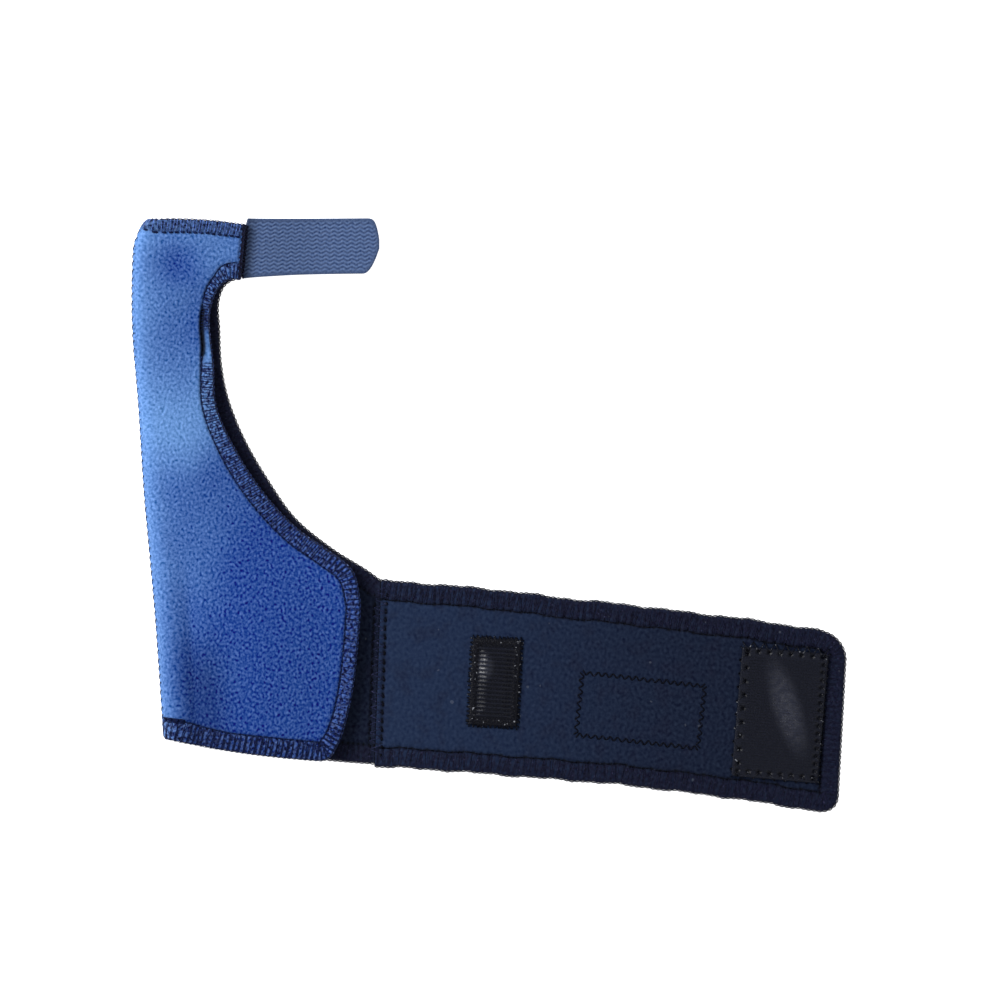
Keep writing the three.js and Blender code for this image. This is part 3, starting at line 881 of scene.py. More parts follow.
def sewn_masks(tree, line_width=0.0009, hole_size=0.5):
    """The sewn band's masks, from the mesh's fields"""
    made = tree.nodes.new("ShaderNodeGroup")
    made.node_tree = band_group()
    for socket, name in (("Inside", "inside"), ("Run", "run"), ("Band", "band")):
        tree.links.new(field(tree, name), made.inputs[socket])
    made.inputs["Line Width"].default_value = line_width
    made.inputs["Hole Size"].default_value = hole_size
    return made.outputs


def cloth_place(tree):
    """The place on a sheet, measured along the cloth"""
    up = calculate(tree, "MULTIPLY", field(tree, "up"), LOOP_STRETCH)
    return node(tree, "ShaderNodeCombineXYZ", {0: field(tree, "across"), 1: up}).outputs[0]


def nap(tree, place, loops, fibres):
    """The grain and height of looped cloth, from how many loops and fibres there are to a metre"""
    made = tree.nodes.new("ShaderNodeGroup")
    made.node_tree = nap_group()
    tree.links.new(place, made.inputs["Vector"])
    made.inputs["Loops"].default_value = loops
    made.inputs["Fibres"].default_value = fibres
    return made.outputs["Grain"], made.outputs["Height"]


def grained(tree, colour, grain, fleck):
    """A colour made paler on the grain's crests, and darker by as much in its gaps"""
    level = combine(tree, "ADD", colour, scaled(tree, fleck, grain))
    darkest = tuple(c * 0.04 for c in fleck)
    return combine(tree, "MAXIMUM", level, darkest)


def new_material(name, roughness, **constants):
    """A material with one Principled shader, whose even values are set on its own sockets"""
    material = bpy.data.materials.new(name)
    material.use_nodes = True
    tree = material.node_tree
    tree.nodes.clear()
    shader = node(tree, "ShaderNodeBsdfPrincipled", {"Roughness": roughness, **constants})
    out = node(tree, "ShaderNodeOutputMaterial", {"Surface": shader.outputs[0]})
    out.is_active_output = True
    return material, tree, shader


def bump(tree, shader, height, distance):
    """Bumps on a shader, as high as the distance"""
    made = node(tree, "ShaderNodeBump", {"Height": height, "Distance": distance, "Strength": 1.0})
    tree.links.new(made.outputs[0], shader.inputs["Normal"])


def known(name, build):
    """The material of that name, built once"""
    return bpy.data.materials.get(name) or build()


def gleam_group():
    """A soft oval mask round a place where cloth or tape gleams: a painted highlight there, and a glossier
    coat
    """
    if "Painted highlight oval" in bpy.data.node_groups:
        return bpy.data.node_groups["Painted highlight oval"]
    sockets = {name: (VECTOR, None) for name in ("Vector", "Centre", "Along", "Across")}
    tree, given, out = group("Painted highlight oval", sockets, {"Mask": FLOAT})
    off = combine(tree, "SUBTRACT", given["Vector"], given["Centre"])
    shares = [combine(tree, "DOT_PRODUCT", off, given[way], 1) for way in ("Along", "Across")]
    squares = [calculate(tree, "MULTIPLY", share, share) for share in shares]
    away = calculate(tree, "SQRT", calculate(tree, "ADD", *squares))
    return finish_group(tree, out, {"Mask": remap(tree, away, 1.0, 0.25)})


def darkened(tree, shade, masks, line, holes):
    """A shade cut down along the needle line and at its holes: painted shade in the groove and the holes, as
    well as the dark of the thread there
    """
    dark = calculate(tree, "MULTIPLY", masks["Line"], line)
    dark = calculate(tree, "MAXIMUM", dark, calculate(tree, "MULTIPLY", masks["Holes"], holes))
    return calculate(tree, "MULTIPLY", shade, calculate(tree, "SUBTRACT", 1.0, dark))


def loop_cloth(colours):
    """Royal blue brushed loop cloth"""
    sheen = {"Sheen Weight": 0.08, "Sheen Roughness": 0.5, "Sheen Tint": (0.6, 0.75, 1, 1)}
    material, tree, shader = new_material("royal_loop_cloth", 0.9, **sheen)
    shader.inputs["Specular IOR Level"].default_value = 0.08
    place = cloth_place(tree)
    grain, height = nap(tree, place, 440.0, 1300.0)
    masks = sewn_masks(tree, 0.0008, 0.1)
    patch = noise(tree, place, 45.0, 2.0)
    # The tone is painted light and shade from the field, with a little random tone from the noise
    tone = calculate(tree, "ADD", field(tree, "tone"), remap(tree, patch, 0.3, 0.7, -0.05, 0.05))
    colour = blend(tree, tone, (*colours.blue_deep, 1), (*colours.blue_painted_light, 1))
    wrapped = calculate(tree, "SUBTRACT", field(tree, "wrapped"), field(tree, "bare"))
    band = calculate(tree, "MULTIPLY", masks["Band"], wrapped)
    lumps = remap(tree, noise(tree, place, 620.0, 2.0, 0.6), 0.42, 0.6)
    tint = calculate(tree, "MULTIPLY", band, remap(tree, lumps, 0, 1, 0.92, 0.2, "LINEAR"))
    colour = blend(tree, tint, colour, (*colours.band_tint, 1))
    grain = calculate(tree, "MULTIPLY", grain, remap(tree, tone, 0, 1, 1.25, 1.75, "LINEAR"))
    grain = calculate(tree, "MULTIPLY_ADD", calculate(tree, "MULTIPLY", band, lumps), 0.68, grain)
    colour = grained(tree, colour, grain, colours.blue_fleck)
    line = calculate(tree, "MULTIPLY", wrapped, 0.45)
    holes = calculate(tree, "MULTIPLY", wrapped, 0.9)
    shade = darkened(tree, field(tree, "shade"), masks, line, holes)
    tree.links.new(scaled(tree, colour, shade), shader.inputs["Base Color"])
    bump(tree, shader, height, 0.0002)
    return material


def lining(colours):
    """Navy knitted lining, mottled, with a few pale specks of lint"""
    sheen = {"Sheen Weight": 0.03, "Sheen Roughness": 0.6, "Sheen Tint": (0.5, 0.6, 1, 1)}
    material, tree, shader = new_material("navy_knit_lining", 0.85, **sheen)
    shader.inputs["Specular IOR Level"].default_value = 0.1
    place = cloth_place(tree)
    grain, height = nap(tree, place, 360.0, 1100.0)
    masks = sewn_masks(tree, 0.0013, -0.4)
    # The tone field paints light on the lining, lighter near the wrist
    colour = blend(tree, field(tree, "tone"), (*colours.navy_deep, 1), (*colours.navy_painted_light, 1))
    blotch = remap(tree, noise(tree, place, 130.0, 2.0), 0.45, 0.7, 0, 0.3)
    colour = blend(tree, blotch, colour, (*colours.thread, 1))
    band = calculate(tree, "MULTIPLY", masks["Band"], field(tree, "wrapped"))
    lumps = remap(tree, noise(tree, place, 420.0, 2.0, 0.6), 0.4, 0.6, 0.25, 0.8)
    colour = blend(tree, calculate(tree, "MULTIPLY", band, lumps), colour, (*colours.thread, 1))
    colour = grained(tree, colour, grain, colours.navy_fleck)
    lint = remap(tree, noise(tree, place, 330.0, 0.0), 0.83, 0.86, 0, 0.06)
    colour = blend(tree, lint, colour, (0.5, 0.55, 0.65, 1))
    shade = darkened(tree, 1.0, masks, 0.35, 0.9)
    tree.links.new(scaled(tree, colour, shade), shader.inputs["Base Color"])
    bump(tree, shader, height, 0.0001)
    return material


def foam(colours):
    """The dark neoprene that shows at a cut edge"""
    material, tree, shader = new_material("neoprene_foam", 0.8)
    shader.inputs["Specular IOR Level"].default_value = 0.15
    place = node(tree, "ShaderNodeTexCoord").outputs["Object"]
    cells = noise(tree, place, 2500.0, 2.0)
    pale = tuple(c * 2 for c in colours.foam)
    colour = blend(tree, remap(tree, cells, 0.35, 0.65), (*colours.foam, 1), (*pale, 1))
    tree.links.new(colour, shader.inputs["Base Color"])
    bump(tree, shader, cells, 0.0003)
    return material


def sewing_thread(name, colour, fleck, roughness=0.6, shine=0.07):
    """Sewing thread, darker in its twist, with a pale fleck where a strand catches the light. Thread
    of one name is built once."""
    if name in bpy.data.materials:
        return bpy.data.materials[name]
    material, tree, shader = new_material(name, roughness)
    shader.inputs["Specular IOR Level"].default_value = shine
    place = node(tree, "ShaderNodeTexCoord").outputs["Object"]
    twist = noise(tree, place, 1500.0, 2.0)
    dark = tuple(c * 0.5 for c in colour)
    pale = tuple(min(1.0, c * 1.8) for c in colour)
    colour = blend(tree, remap(tree, twist, 0.35, 0.65), (*dark, 1), (*pale, 1))
    lit = remap(tree, noise(tree, place, 700.0, 1.0), 0.64, 0.74)
    tree.links.new(blend(tree, lit, colour, (*fleck, 1)), shader.inputs["Base Color"])
    bump(tree, shader, twist, 0.0003)
    return material


def woven_tape(colours):
    """Steel blue tape with wavy ribs along it"""
    material, tree, shader = new_material("steel_blue_tape", 0.6)
    shader.inputs["Specular IOR Level"].default_value = 0.15
    grain, height = nap(tree, node(tree, "ShaderNodeTexCoord").outputs["Object"], 560.0, 3000.0)
    colour = blend(tree, field(tree, "rib"), (*colours.tape_deep, 1), (*colours.tape_light, 1))
    colour = grained(tree, colour, grain, colours.tape_fleck)
    # The tone field is painted shadow
    tree.links.new(scaled(tree, colour, field(tree, "tone")), shader.inputs["Base Color"])
    bump(tree, shader, height, 0.0001)
    return material


def hook_tape(name, colours, highlight_oval, strength):
    """Black nylon hook tape. highlight_oval is the oval where it gleams, with a painted highlight: its
    middle, and the ways along and across it. strength is how much its coat gleams there."""
    material, tree, shader = new_material(name, 0.4, **{"Coat Roughness": 0.25})
    shader.inputs["Specular IOR Level"].default_value = 0.12
    place = node(tree, "ShaderNodeTexCoord").outputs["Object"]
    grain = noise(tree, place, 1800.0, 2.0)
    made = tree.nodes.new("ShaderNodeGroup")
    made.node_tree = gleam_group()
    tree.links.new(place, made.inputs["Vector"])
    for socket, value in zip(("Centre", "Along", "Across"), highlight_oval):
        made.inputs[socket].default_value = value
    pale = tuple(c * 1.9 for c in colours.hook)
    colour = blend(tree, remap(tree, grain, 0.35, 0.65), (*colours.hook, 1), (*pale, 1))
    # Painted highlight on the oval, and painted shade where the shade field is low
    highlight_and_shade = calculate(tree, "MULTIPLY_ADD", made.outputs["Mask"], 1.3, 1.08)
    highlight_and_shade = calculate(tree, "MULTIPLY", highlight_and_shade, field(tree, "shade"))
    tree.links.new(scaled(tree, colour, highlight_and_shade), shader.inputs["Base Color"])
    patchy = remap(tree, noise(tree, place, 420.0, 1.0), 0.35, 0.65, 0.4 * strength, 1.1 * strength)
    highlight_coat = calculate(tree, "MULTIPLY", made.outputs["Mask"], patchy)
    tree.links.new(highlight_coat, shader.inputs["Coat Weight"])
    tree.links.new(remap(tree, grain, 0.3, 0.7, 0.26, 0.4), shader.inputs["Roughness"])
    bump(tree, shader, grain, 0.00015)
    return material


def cloths(colours):
    """The blue cloth, the lining and the foam, in the order in which sheets use them"""
    return (
        known("royal_loop_cloth", lambda: loop_cloth(colours)),
        known("navy_knit_lining", lambda: lining(colours)),
        known("neoprene_foam", lambda: foam(colours)),
    )


def navy_thread(colours):
    """Thread of the overlocked edges and the side seam"""
    return sewing_thread("navy_thread", colours.thread, (0.035, 0.035, 0.08))


def dark_thread(colours):
    """Thread of the needle rows on the lining"""
    return sewing_thread("dark_thread", colours.dark_thread, (0.012, 0.014, 0.03))


def cover_thread(colours):
    """Thread across the wrist seam"""
    return sewing_thread("cover_thread", colours.cover_thread, (0.06, 0.06, 0.13))


def blue_thread(colours):
    """Thread on the blue cloth"""
    return sewing_thread("blue_thread", colours.edge_thread, (0.03, 0.06, 0.2))


# Its pale colour is partly a painted highlight along the rim of the blue cloth
def rim_thread(colours):
    """Thread that locks the blue cloth's rim"""
    return sewing_thread("rim_thread", colours.rim_thread, (0.16, 0.22, 0.45))


def bar_thread(colours):
    """Thread wrapped over the thumb end"""
    return sewing_thread("bar_thread", colours.bar_thread, (0.2, 0.3, 0.6))


def black_thread(colours):
    """Smoother, shinier thread of the hook patches"""
    return sewing_thread("black_thread", colours.black_thread, (0.22, 0.23, 0.26), 0.35, 0.12)


# Settings


def colour_property(name, description, default):
    """A colour that a user can change"""
    return bpy.props.FloatVectorProperty(
        name=name, description=description, default=default, subtype="COLOR", size=3, min=0, max=1
    )


def length_property(name, description, default):
    """A length that a user can change"""
    return bpy.props.FloatProperty(
        name=name, description=description, default=default, min=0, subtype="DISTANCE", unit="LENGTH"
    )


class BraceColours(bpy.types.PropertyGroup):
    """Colours of the cloths, threads and tapes"""

    # Deep blue is the loop cloth's own colour and light blue its colour where light is painted on it; the
    # tone field blends between them
    blue_deep: colour_property("Deep blue", "Loop cloth where its nap is pressed", (0.0195, 0.06, 0.265))
    blue_painted_light: colour_property("Light blue", "Loop cloth where its nap is brushed up", (0.122, 0.262, 0.57))
    blue_fleck: colour_property("Blue fleck", "What a crest of the nap adds", (0.035, 0.054, 0.1))
    band_tint: colour_property("Band tint", "Loop cloth under its wrapped threads", (0.0155, 0.022, 0.082))
    # Light navy is the lining in painted light near the wrist; deep navy is its own colour
    navy_deep: colour_property("Deep navy", "Lining away from the wrist", (0.0042, 0.0078, 0.0215))
    navy_painted_light: colour_property("Light navy", "Lining near the wrist", (0.0118, 0.024, 0.063))
    navy_fleck: colour_property("Navy fleck", "What a crest of the knit adds", (0.0045, 0.0065, 0.0105))
    thread: colour_property("Thread", "Navy sewing thread", (0.0062, 0.0068, 0.02))
    cover_thread: colour_property("Cover thread", "Thread across the wrist seam", (0.011, 0.014, 0.038))
    dark_thread: colour_property("Dark thread", "Needle rows on the lining", (0.0016, 0.002, 0.006))
    edge_thread: colour_property("Edge thread", "Thread on the blue cloth", (0.004, 0.0085, 0.042))
    rim_thread: colour_property("Rim thread", "Thread that locks the blue cloth's rim", (0.016, 0.028, 0.095))
    bar_thread: colour_property("Bar thread", "Thread wrapped over the thumb end", (0.062, 0.115, 0.34))
    foam: colour_property("Foam", "Neoprene at a cut edge", (0.004, 0.005, 0.01))
    tape_deep: colour_property("Tape hollows", "Thumb strap between its ribs", (0.03, 0.053, 0.132))
    tape_light: colour_property("Tape ribs", "Thumb strap on its ribs", (0.092, 0.15, 0.303))
    tape_fleck: colour_property("Tape fleck", "What a crest of the tape's weave adds", (0.026, 0.033, 0.046))
    black_thread: colour_property("Black thread", "Thread of the hook patches", (0.0022, 0.0026, 0.006))
    hook: colour_property("Hook tape", "Nylon hooks and their tape", (0.0042, 0.005, 0.0095))


class BraceSewing(bpy.types.PropertyGroup):
    """Sizes of the stitches and of what they do to the cloth"""

    thread: length_property("Thread", "Thickness of the needle and rim thread", 0.52 * MM)
    fine_thread: length_property("Fine thread", "Thickness of the thread wrapped over an edge", 0.34 * MM)
    hem_pitch: length_property("Hem pitch", "Distance between stitches on the wrist hem", 2.35 * MM)
    strap_pitch: length_property("Strap pitch", "Distance between stitches on the wrist strap", 2.4 * MM)
    thumb_pitch: length_property("Thumb end pitch", "Distance between stitches on the thumb end", 2.8 * MM)
    groove: length_property("Groove", "Depth to which the needle line draws in the cloth", 0.55 * MM)
    pucker: length_property("Pucker", "Height of the puckers between stitches", 0.14 * MM)


# Pieces


def panel_painted_light(grid):
    """The painted light and shade of the blue cloth over a panel: light by the fold, where the curl faces the
    light, and darker away from it
    """
    x, y = grid[:, :, 0], grid[:, :, 1]
    up = y / PANEL_HEIGHT
    out = np.maximum(x / FLAP_WIDTH - through(SIDE_SEAM, up), 0)
    past = np.maximum(out - 0.22, 0)
    tone = through(PAINTED_LIGHT_TONES, up - 0.4 * past) - 0.6 * past * smooth(0.2, 0.35, up)
    for spot_up, spot_out, reach, change in PAINTED_LIGHT_SPOTS:
        away = np.hypot(x - spot_out * FLAP_WIDTH, y - spot_up * PANEL_HEIGHT) / (reach * FLAP_WIDTH)
        tone = tone + change * np.exp(-away * away)
    # Painted light on the strip by the fold, where the curl faces the light
    by_fold = lerp(0.06, 0.08, smooth(0.22, 0.38, up))
    return tone + (0.85 - tone) * np.exp(-((out / by_fold) ** 1.5))


def within(up, limits, soft=0.012):
    """1 between two heights on the panel, falling off softly outside them"""
    return smooth(limits[0] - soft, limits[0] + soft, up) * smooth(limits[1] + soft, limits[1] - soft, up)


def laminate_sheet(name, surface, edges, butted, upper_cloth, looks, sewing, colours, deep=1.0):
    """A sheet of laminate with its overlocked edges and its butted seams. upper_cloth is 0 for blue
    cloth upwards and 1 for the lining, looks has fields for its cloths, and deep is how much deeper
    than usual the needle line draws in the upper face."""
    flat = surface.grid.reshape(-1, 3)
    shape = surface.grid.shape[:2]
    hems = [f.reshape(shape) for f in sewn_fields(flat, edges)]
    seams = [f.reshape(shape) for f in sewn_fields(flat, butted)]
    free, joined = hems[0], seams[0]
    # A seam presses its needle row in only where no hem's band lies
    by_seam = (joined < free) & (free > hems[2] + 1.2 * MM)
    inside, run, band = (np.where(by_seam, seam, hem) for seam, hem in zip(seams, hems))
    half = np.minimum(rounding(free, LAMINATE), rounding(joined, LAMINATE, BUTT_ROUND))
    half[[0, -1]] = 0
    half[:, [0, -1]] = 0
    drawn = half / (LAMINATE / 2) * np.where(by_seam, 1, smooth(0.2 * MM, 1.2 * MM, joined))
    upper = half - sewn_relief(inside, run, band, *side_relief(sewing, 1), deep) * drawn
    lower = half - sewn_relief(inside, run, band, *side_relief(sewing, -1)) * drawn
    points, quads = surface.closed(upper, lower)
    near = surface.on_both(np.minimum(free, joined))[quads].mean(axis=1)
    faces = len(quads) // 2
    side = np.concatenate([np.full(faces, upper_cloth), np.full(faces, 1 - upper_cloth)])
    side = np.where(near < FOAM_SHOWS, 2, side)
    fields = {
        "inside": inside, "run": run, "band": band, "wrapped": 1.0 - by_seam, "bare": 0 * half,
        "tone": 0 * half, "shade": 0 * half + 1, "across": surface.across(),
        "up": surface.grid[:, :, 1], **looks,
    }
    fields = {key: surface.on_both(values) for key, values in fields.items()}
    return add_mesh(name, points, quads.tolist(), cloths(colours), side, fields)


def front_panel_surface():
    """The front panel's surface, and its grid's row where the thumb strap's seam starts"""
    outline, joint = front_outline()
    surface = Surface(panel(outline, 1, leaf_height))
    row = int(np.searchsorted(stations(runs(outline)[-1], ROW_STEP), joint))
    return surface, row


def front_edges(surface, joint_row, sewing):
    """The hem and free edge as one line, and the thumb end"""
    hem = np.vstack([surface.grid[0, :-1], surface.grid[: joint_row + 1, -1]])
    end = surface.grid[-1, ::-1]
    end_band = [(0, THUMB_END_BAND)]
    end_sink = [(0, THUMB_END_SINK)]
    return [
        SewnEdge(surface, hem, FRONT_BANDS, sewing.hem_pitch, sewing, FRONT_SINK, HEM_WIDENING),
        SewnEdge(surface, end, end_band, sewing.thumb_pitch, sewing, end_sink),
    ]


def butt_seams(surface, sewing, *lines):
    """The butted seams of a sheet, which only press their needle rows into it"""
    return [SewnEdge(surface, line, [(0, width)], pitch, sewing) for line, width, pitch in lines]


def crease_shade(surface, hem):
    """The blue cloth's shade in the crease along the free edge, and the bare strip beside it"""
    flat = surface.grid.reshape(-1, 3)
    shape = surface.grid.shape[:2]
    inside, _, band = (f.reshape(shape) for f in sewn_fields(flat, [hem]))
    up = surface.grid[:, :, 1] / PANEL_HEIGHT
    off = inside - band
    crease = np.exp(-(((off + CREASE_OUTSIDE) / CREASE_REACH) ** 2)) * within(up, CREASE)
    strip = within(up, BARE_STRIP) * smooth(0, -1.2 * MM, off)
    return 1 - 0.95 * np.minimum(1.3 * crease, 1), strip


def front_looks(surface, hem, end):
    """The fields that give the front panel's blue cloth its tone, its shade and its bare places"""
    grid = surface.grid
    up = grid[:, :, 1] / PANEL_HEIGHT
    crease, strip = crease_shade(surface, hem)
    out = grid[:, :, 0] - grid[:, :1, 0]
    valley = np.exp(-(((out - VALLEY_PLACE) / VALLEY_SPREAD) ** 2)) * smooth(0.28, 0.14, up)
    away = line_field(grid.reshape(-1, 3), end.line)[0].reshape(up.shape)
    in_band = smooth(THUMB_END_BAND + 0.2 * MM, THUMB_END_BAND - 0.6 * MM, away)
    between = 0.85 * np.exp(-(((away - THUMB_END_BAND) / (0.9 * MM)) ** 2))
    # The tone is painted light and shade, lighter still on the bare strip; the shade is painted shade in the
    # crease and the valley, and darkens the cloth between the threads of the thumb end
    return {
        "tone": panel_painted_light(grid) + 0.35 * strip,
        "shade": crease * (1 - VALLEY_SHADE * valley) * (1 - THUMB_END_SHADE * in_band),
        "bare": np.maximum(strip, between),
    }


def front_stitches(hem, end, random, sewing, colours):
    """The front panel's threads: round its edges, in its needle rows and along its rims"""
    thread = blue_thread(colours)
    wrap = sewing.fine_thread * FRONT_WRAP
    thick = sewing.thread * THUMB_END_DASH
    loops = [
        hem.overlock(random, wrap, 3, FRONT_STRANDS, last=FINE_BARS),
        hem.overlock(random, wrap, 2, sewing.hem_pitch / 2, bare=BARE_STRIP, first=FINE_BARS),
    ]
    bars = [end.overlock(random, wrap, 2, THUMB_END_STRANDS, late=0.5)]
    corner = [
        hem.needle_row(random, sewing.thread, 0.8, aside=aside, until=HEM_CORNER)
        for aside in CORNER_STRANDS
    ]
    row = hem.needle_row(random, sewing.thread, 0.6, bare=CREASE)
    dashes = [end.needle_row(random, thick, 0.5, dash=(0.22, 0.66))]
    rims = [edge.purl(random, sewing.fine_thread) for edge in (hem, end)]
    return [
        thread_mesh("front_overlock", loops, wrap, thread),
        thread_mesh("thumb_end_overlock", bars, wrap, bar_thread(colours)),
        thread_mesh("front_needle_row", [row, *corner], sewing.thread, thread),
        thread_mesh("thumb_end_row", dashes, thick, thread),
        thread_mesh("front_rim_thread", rims, sewing.fine_thread, rim_thread(colours)),
    ]


class BRACE_OT_front_panel(bpy.types.Operator):
    """Build the front panel of the hand sleeve with its overlocked edges"""

    bl_idname = "brace.front_panel"
    bl_label = "Front panel"

    def execute(self, context):
        colours, sewing = context.scene.brace_colours, context.scene.brace_sewing
        random = np.random.default_rng(11)
        surface, joint_row = front_panel_surface()
        hem, end = edges = front_edges(surface, joint_row, sewing)
        butted = butt_seams(
            surface,
            sewing,
            (surface.grid[:, 0], SIDE_SEAM_ROW, SIDE_SEAM_PITCH),
            (surface.grid[joint_row:, -1], THUMB_SEAM_ROW, THUMB_SEAM_PITCH),
        )
        deep = 1 + 1.6 * within(surface.grid[:, :, 1] / PANEL_HEIGHT, CREASE)
        looks = front_looks(surface, hem, end)
        piece = laminate_sheet(
            "front_panel_cloth", surface, edges, butted, 0, looks, sewing, colours, deep
        )
        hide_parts("front_panel")
        threads = front_stitches(hem, end, random, sewing, colours)
        return {"FINISHED"}


def back_panel_surface():
    """The back panel's surface, and its grid's row where the wrist seam ends"""
    outline, seam_end = back_outline()
    surface = Surface(panel(outline, -1, lambda x, y: np.full(x.shape, LAMINATE / 2)))
    row = int(np.searchsorted(stations(runs(outline)[-1], ROW_STEP), seam_end))
    return surface, row


class BRACE_OT_back_panel(bpy.types.Operator):
    """Build the back panel of the hand sleeve, its lining upwards"""

    bl_idname = "brace.back_panel"
    bl_label = "Back panel"

    def execute(self, context):
        colours, sewing = context.scene.brace_colours, context.scene.brace_sewing
        random = np.random.default_rng(12)
        surface, seam_row = back_panel_surface()
        free = np.vstack([surface.grid[seam_row:, -1], surface.grid[-1, -2::-1]])
        edges = [
            SewnEdge(surface, surface.grid[0], [(0, BACK_HEM_BAND)], sewing.hem_pitch, sewing),
            SewnEdge(surface, free, [(0, BACK_EDGE_BAND)], sewing.hem_pitch, sewing),
        ]
        butted = butt_seams(
            surface,
            sewing,
            (surface.grid[:, 0], SIDE_SEAM_ROW, SIDE_SEAM_PITCH),
            (surface.grid[: seam_row + 1, -1], WRIST_SEAM_ROW, WRIST_SEAM_PITCH),
        )
        piece = laminate_sheet("back_panel_cloth", surface, edges, butted, 1, {}, sewing, colours)
        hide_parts("back_panel")
        thread = navy_thread(colours)
        loops = [edge.overlock(random, sewing.fine_thread, 3, BACK_STRANDS) for edge in edges]
        rims = [edge.purl(random, sewing.thread) for edge in edges]
        threads = [
            thread_mesh("back_overlock", loops, sewing.fine_thread, thread),
            thread_mesh("back_rim_thread", rims, sewing.thread, thread),
        ]
        return {"FINISHED"}


class BRACE_OT_wrist_strap(bpy.types.Operator):
    """Build the wide wrist strap, its lining upwards, with its overlocked edges"""

    bl_idname = "brace.wrist_strap"
    bl_label = "Wrist strap"

    def execute(self, context):
        colours, sewing = context.scene.brace_colours, context.scene.brace_sewing
        random = np.random.default_rng(13)
        surface = Surface(wrist_strap_grid())
        grid = surface.grid
        line = np.vstack([grid[0], grid[1:, -1], grid[-1, -2::-1]])
        edge = SewnEdge(surface, line, [(0, STRAP_BAND)], sewing.strap_pitch, sewing)
        along = (grid[:, :, 0] - WRIST_SEAM[0]) / STRAP_LENGTH
        # Painted light: the lining is painted lighter near the wrist and deep navy further along the strap,
        # where less light falls
        painted_falloff = lerp(0.92, 0.1, smooth(-0.12, 0.8, along))
        butted = butt_seams(surface, sewing, (grid[:, 0], WRIST_SEAM_ROW, WRIST_SEAM_PITCH))
        piece = laminate_sheet(
            "wrist_strap_cloth", surface, [edge], butted, 1, {"tone": painted_falloff}, sewing, colours
        )
        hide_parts("wrist_strap")
        thread = navy_thread(colours)
        loops = [edge.overlock(random, sewing.fine_thread, 3, STRAP_STRANDS)]
        row = [edge.needle_row(random, sewing.thread, 0.5)]
        rim = [edge.purl(random, sewing.thread)]
        threads = [
            thread_mesh("strap_overlock", loops, sewing.fine_thread, thread),
            thread_mesh("strap_needle_row", row, sewing.thread, dark_thread(colours)),
            thread_mesh("strap_rim_thread", rim, sewing.thread, thread),
        ]
        return {"FINISHED"}


# The wavy ribs of the thumb strap's weave
RIB_SPACING = 1.75 * MM
RIB_WAVE = 3.7 * MM
RIB_SWAY = 0.42 * MM
RIB_HEIGHT = 0.3 * MM


class BRACE_OT_thumb_strap(bpy.types.Operator):
    """Build the narrow thumb strap of woven tape"""

    bl_idname = "brace.thumb_strap"
    bl_label = "Thumb strap"

    def execute(self, context):
        colours = context.scene.brace_colours
        grid, distance, offset = thumb_strap_grid()
        surface = Surface(grid)
        outline = np.vstack([grid[0], grid[1:, -1], grid[-1, -2::-1], grid[-2::-1, 0]])
        cut = line_field(grid.reshape(-1, 3), outline)[0].reshape(offset.shape)
        half = rounding(cut, WEBBING)
        # The ribs drift a little along and across the tape
        drift = 0.5 * MM * np.sin(distance / (13 * MM)) + 0.3 * MM * np.sin(offset / (4 * MM))
        sway = RIB_SWAY * np.sin(2 * np.pi * (distance + drift) / RIB_WAVE)
        rib = 0.5 + 0.5 * np.cos(2 * np.pi * (offset + sway) / RIB_SPACING)
        plain = smooth(0.4 * MM, 2.2 * MM, cut)
        upper = half - RIB_HEIGHT * (1 - rib) * plain * half / (WEBBING / 2)
        points, quads = surface.closed(upper, half)
        # Painted shadow: the tape is darker under the panel's edge and along its own edges
        shadow = lerp(0.58, 1.0, smooth(1 * MM, 8 * MM, distance)) * np.ones(offset.shape)
        shadow = shadow * lerp(0.8, 1.0, smooth(0.5 * MM, 2.6 * MM, cut))
        fields = {"rib": surface.on_both(lerp(0.45, rib, plain)), "tone": surface.on_both(shadow)}
        tape = known("steel_blue_tape", lambda: woven_tape(colours))
        piece = add_mesh("thumb_strap_tape", points, quads.tolist(), [tape], None, fields)
        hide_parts("thumb_strap")
        return {"FINISHED"}


def legs(starts, ends, rise, sink, steps=8):
    """Paths of stitches from starts to ends, which rise over the cloth between them and dip into it"""
    t = np.linspace(0, 1, steps)[None, :, None]
    path = starts[:, None] * (1 - t) + ends[:, None] * t
    arch = np.sin(np.pi * t) ** 0.5
    path[:, :, 2:] += arch * rise - (1 - arch) * sink
    return path


def zigzag(line, pitch, low, high):
    """The feet of a zigzag along a plan line: left of the line by low and by high in turn"""
    number = max(2, round(runs(line)[-1] / pitch * 2))
    run = np.linspace(0, runs(line)[-1], number + 1)
    place = at_run(line, run)
    tangent = unit(np.gradient(place, axis=0))
    left = np.stack([-tangent[:, 1], tangent[:, 0]], axis=1)
    return place + left * np.where(np.arange(number + 1) % 2, high, low)[:, None]


def at_height(points, height):
    """Plan points at a height"""
    return np.concatenate([points, np.broadcast_to(height, (len(points), 1))], axis=1)


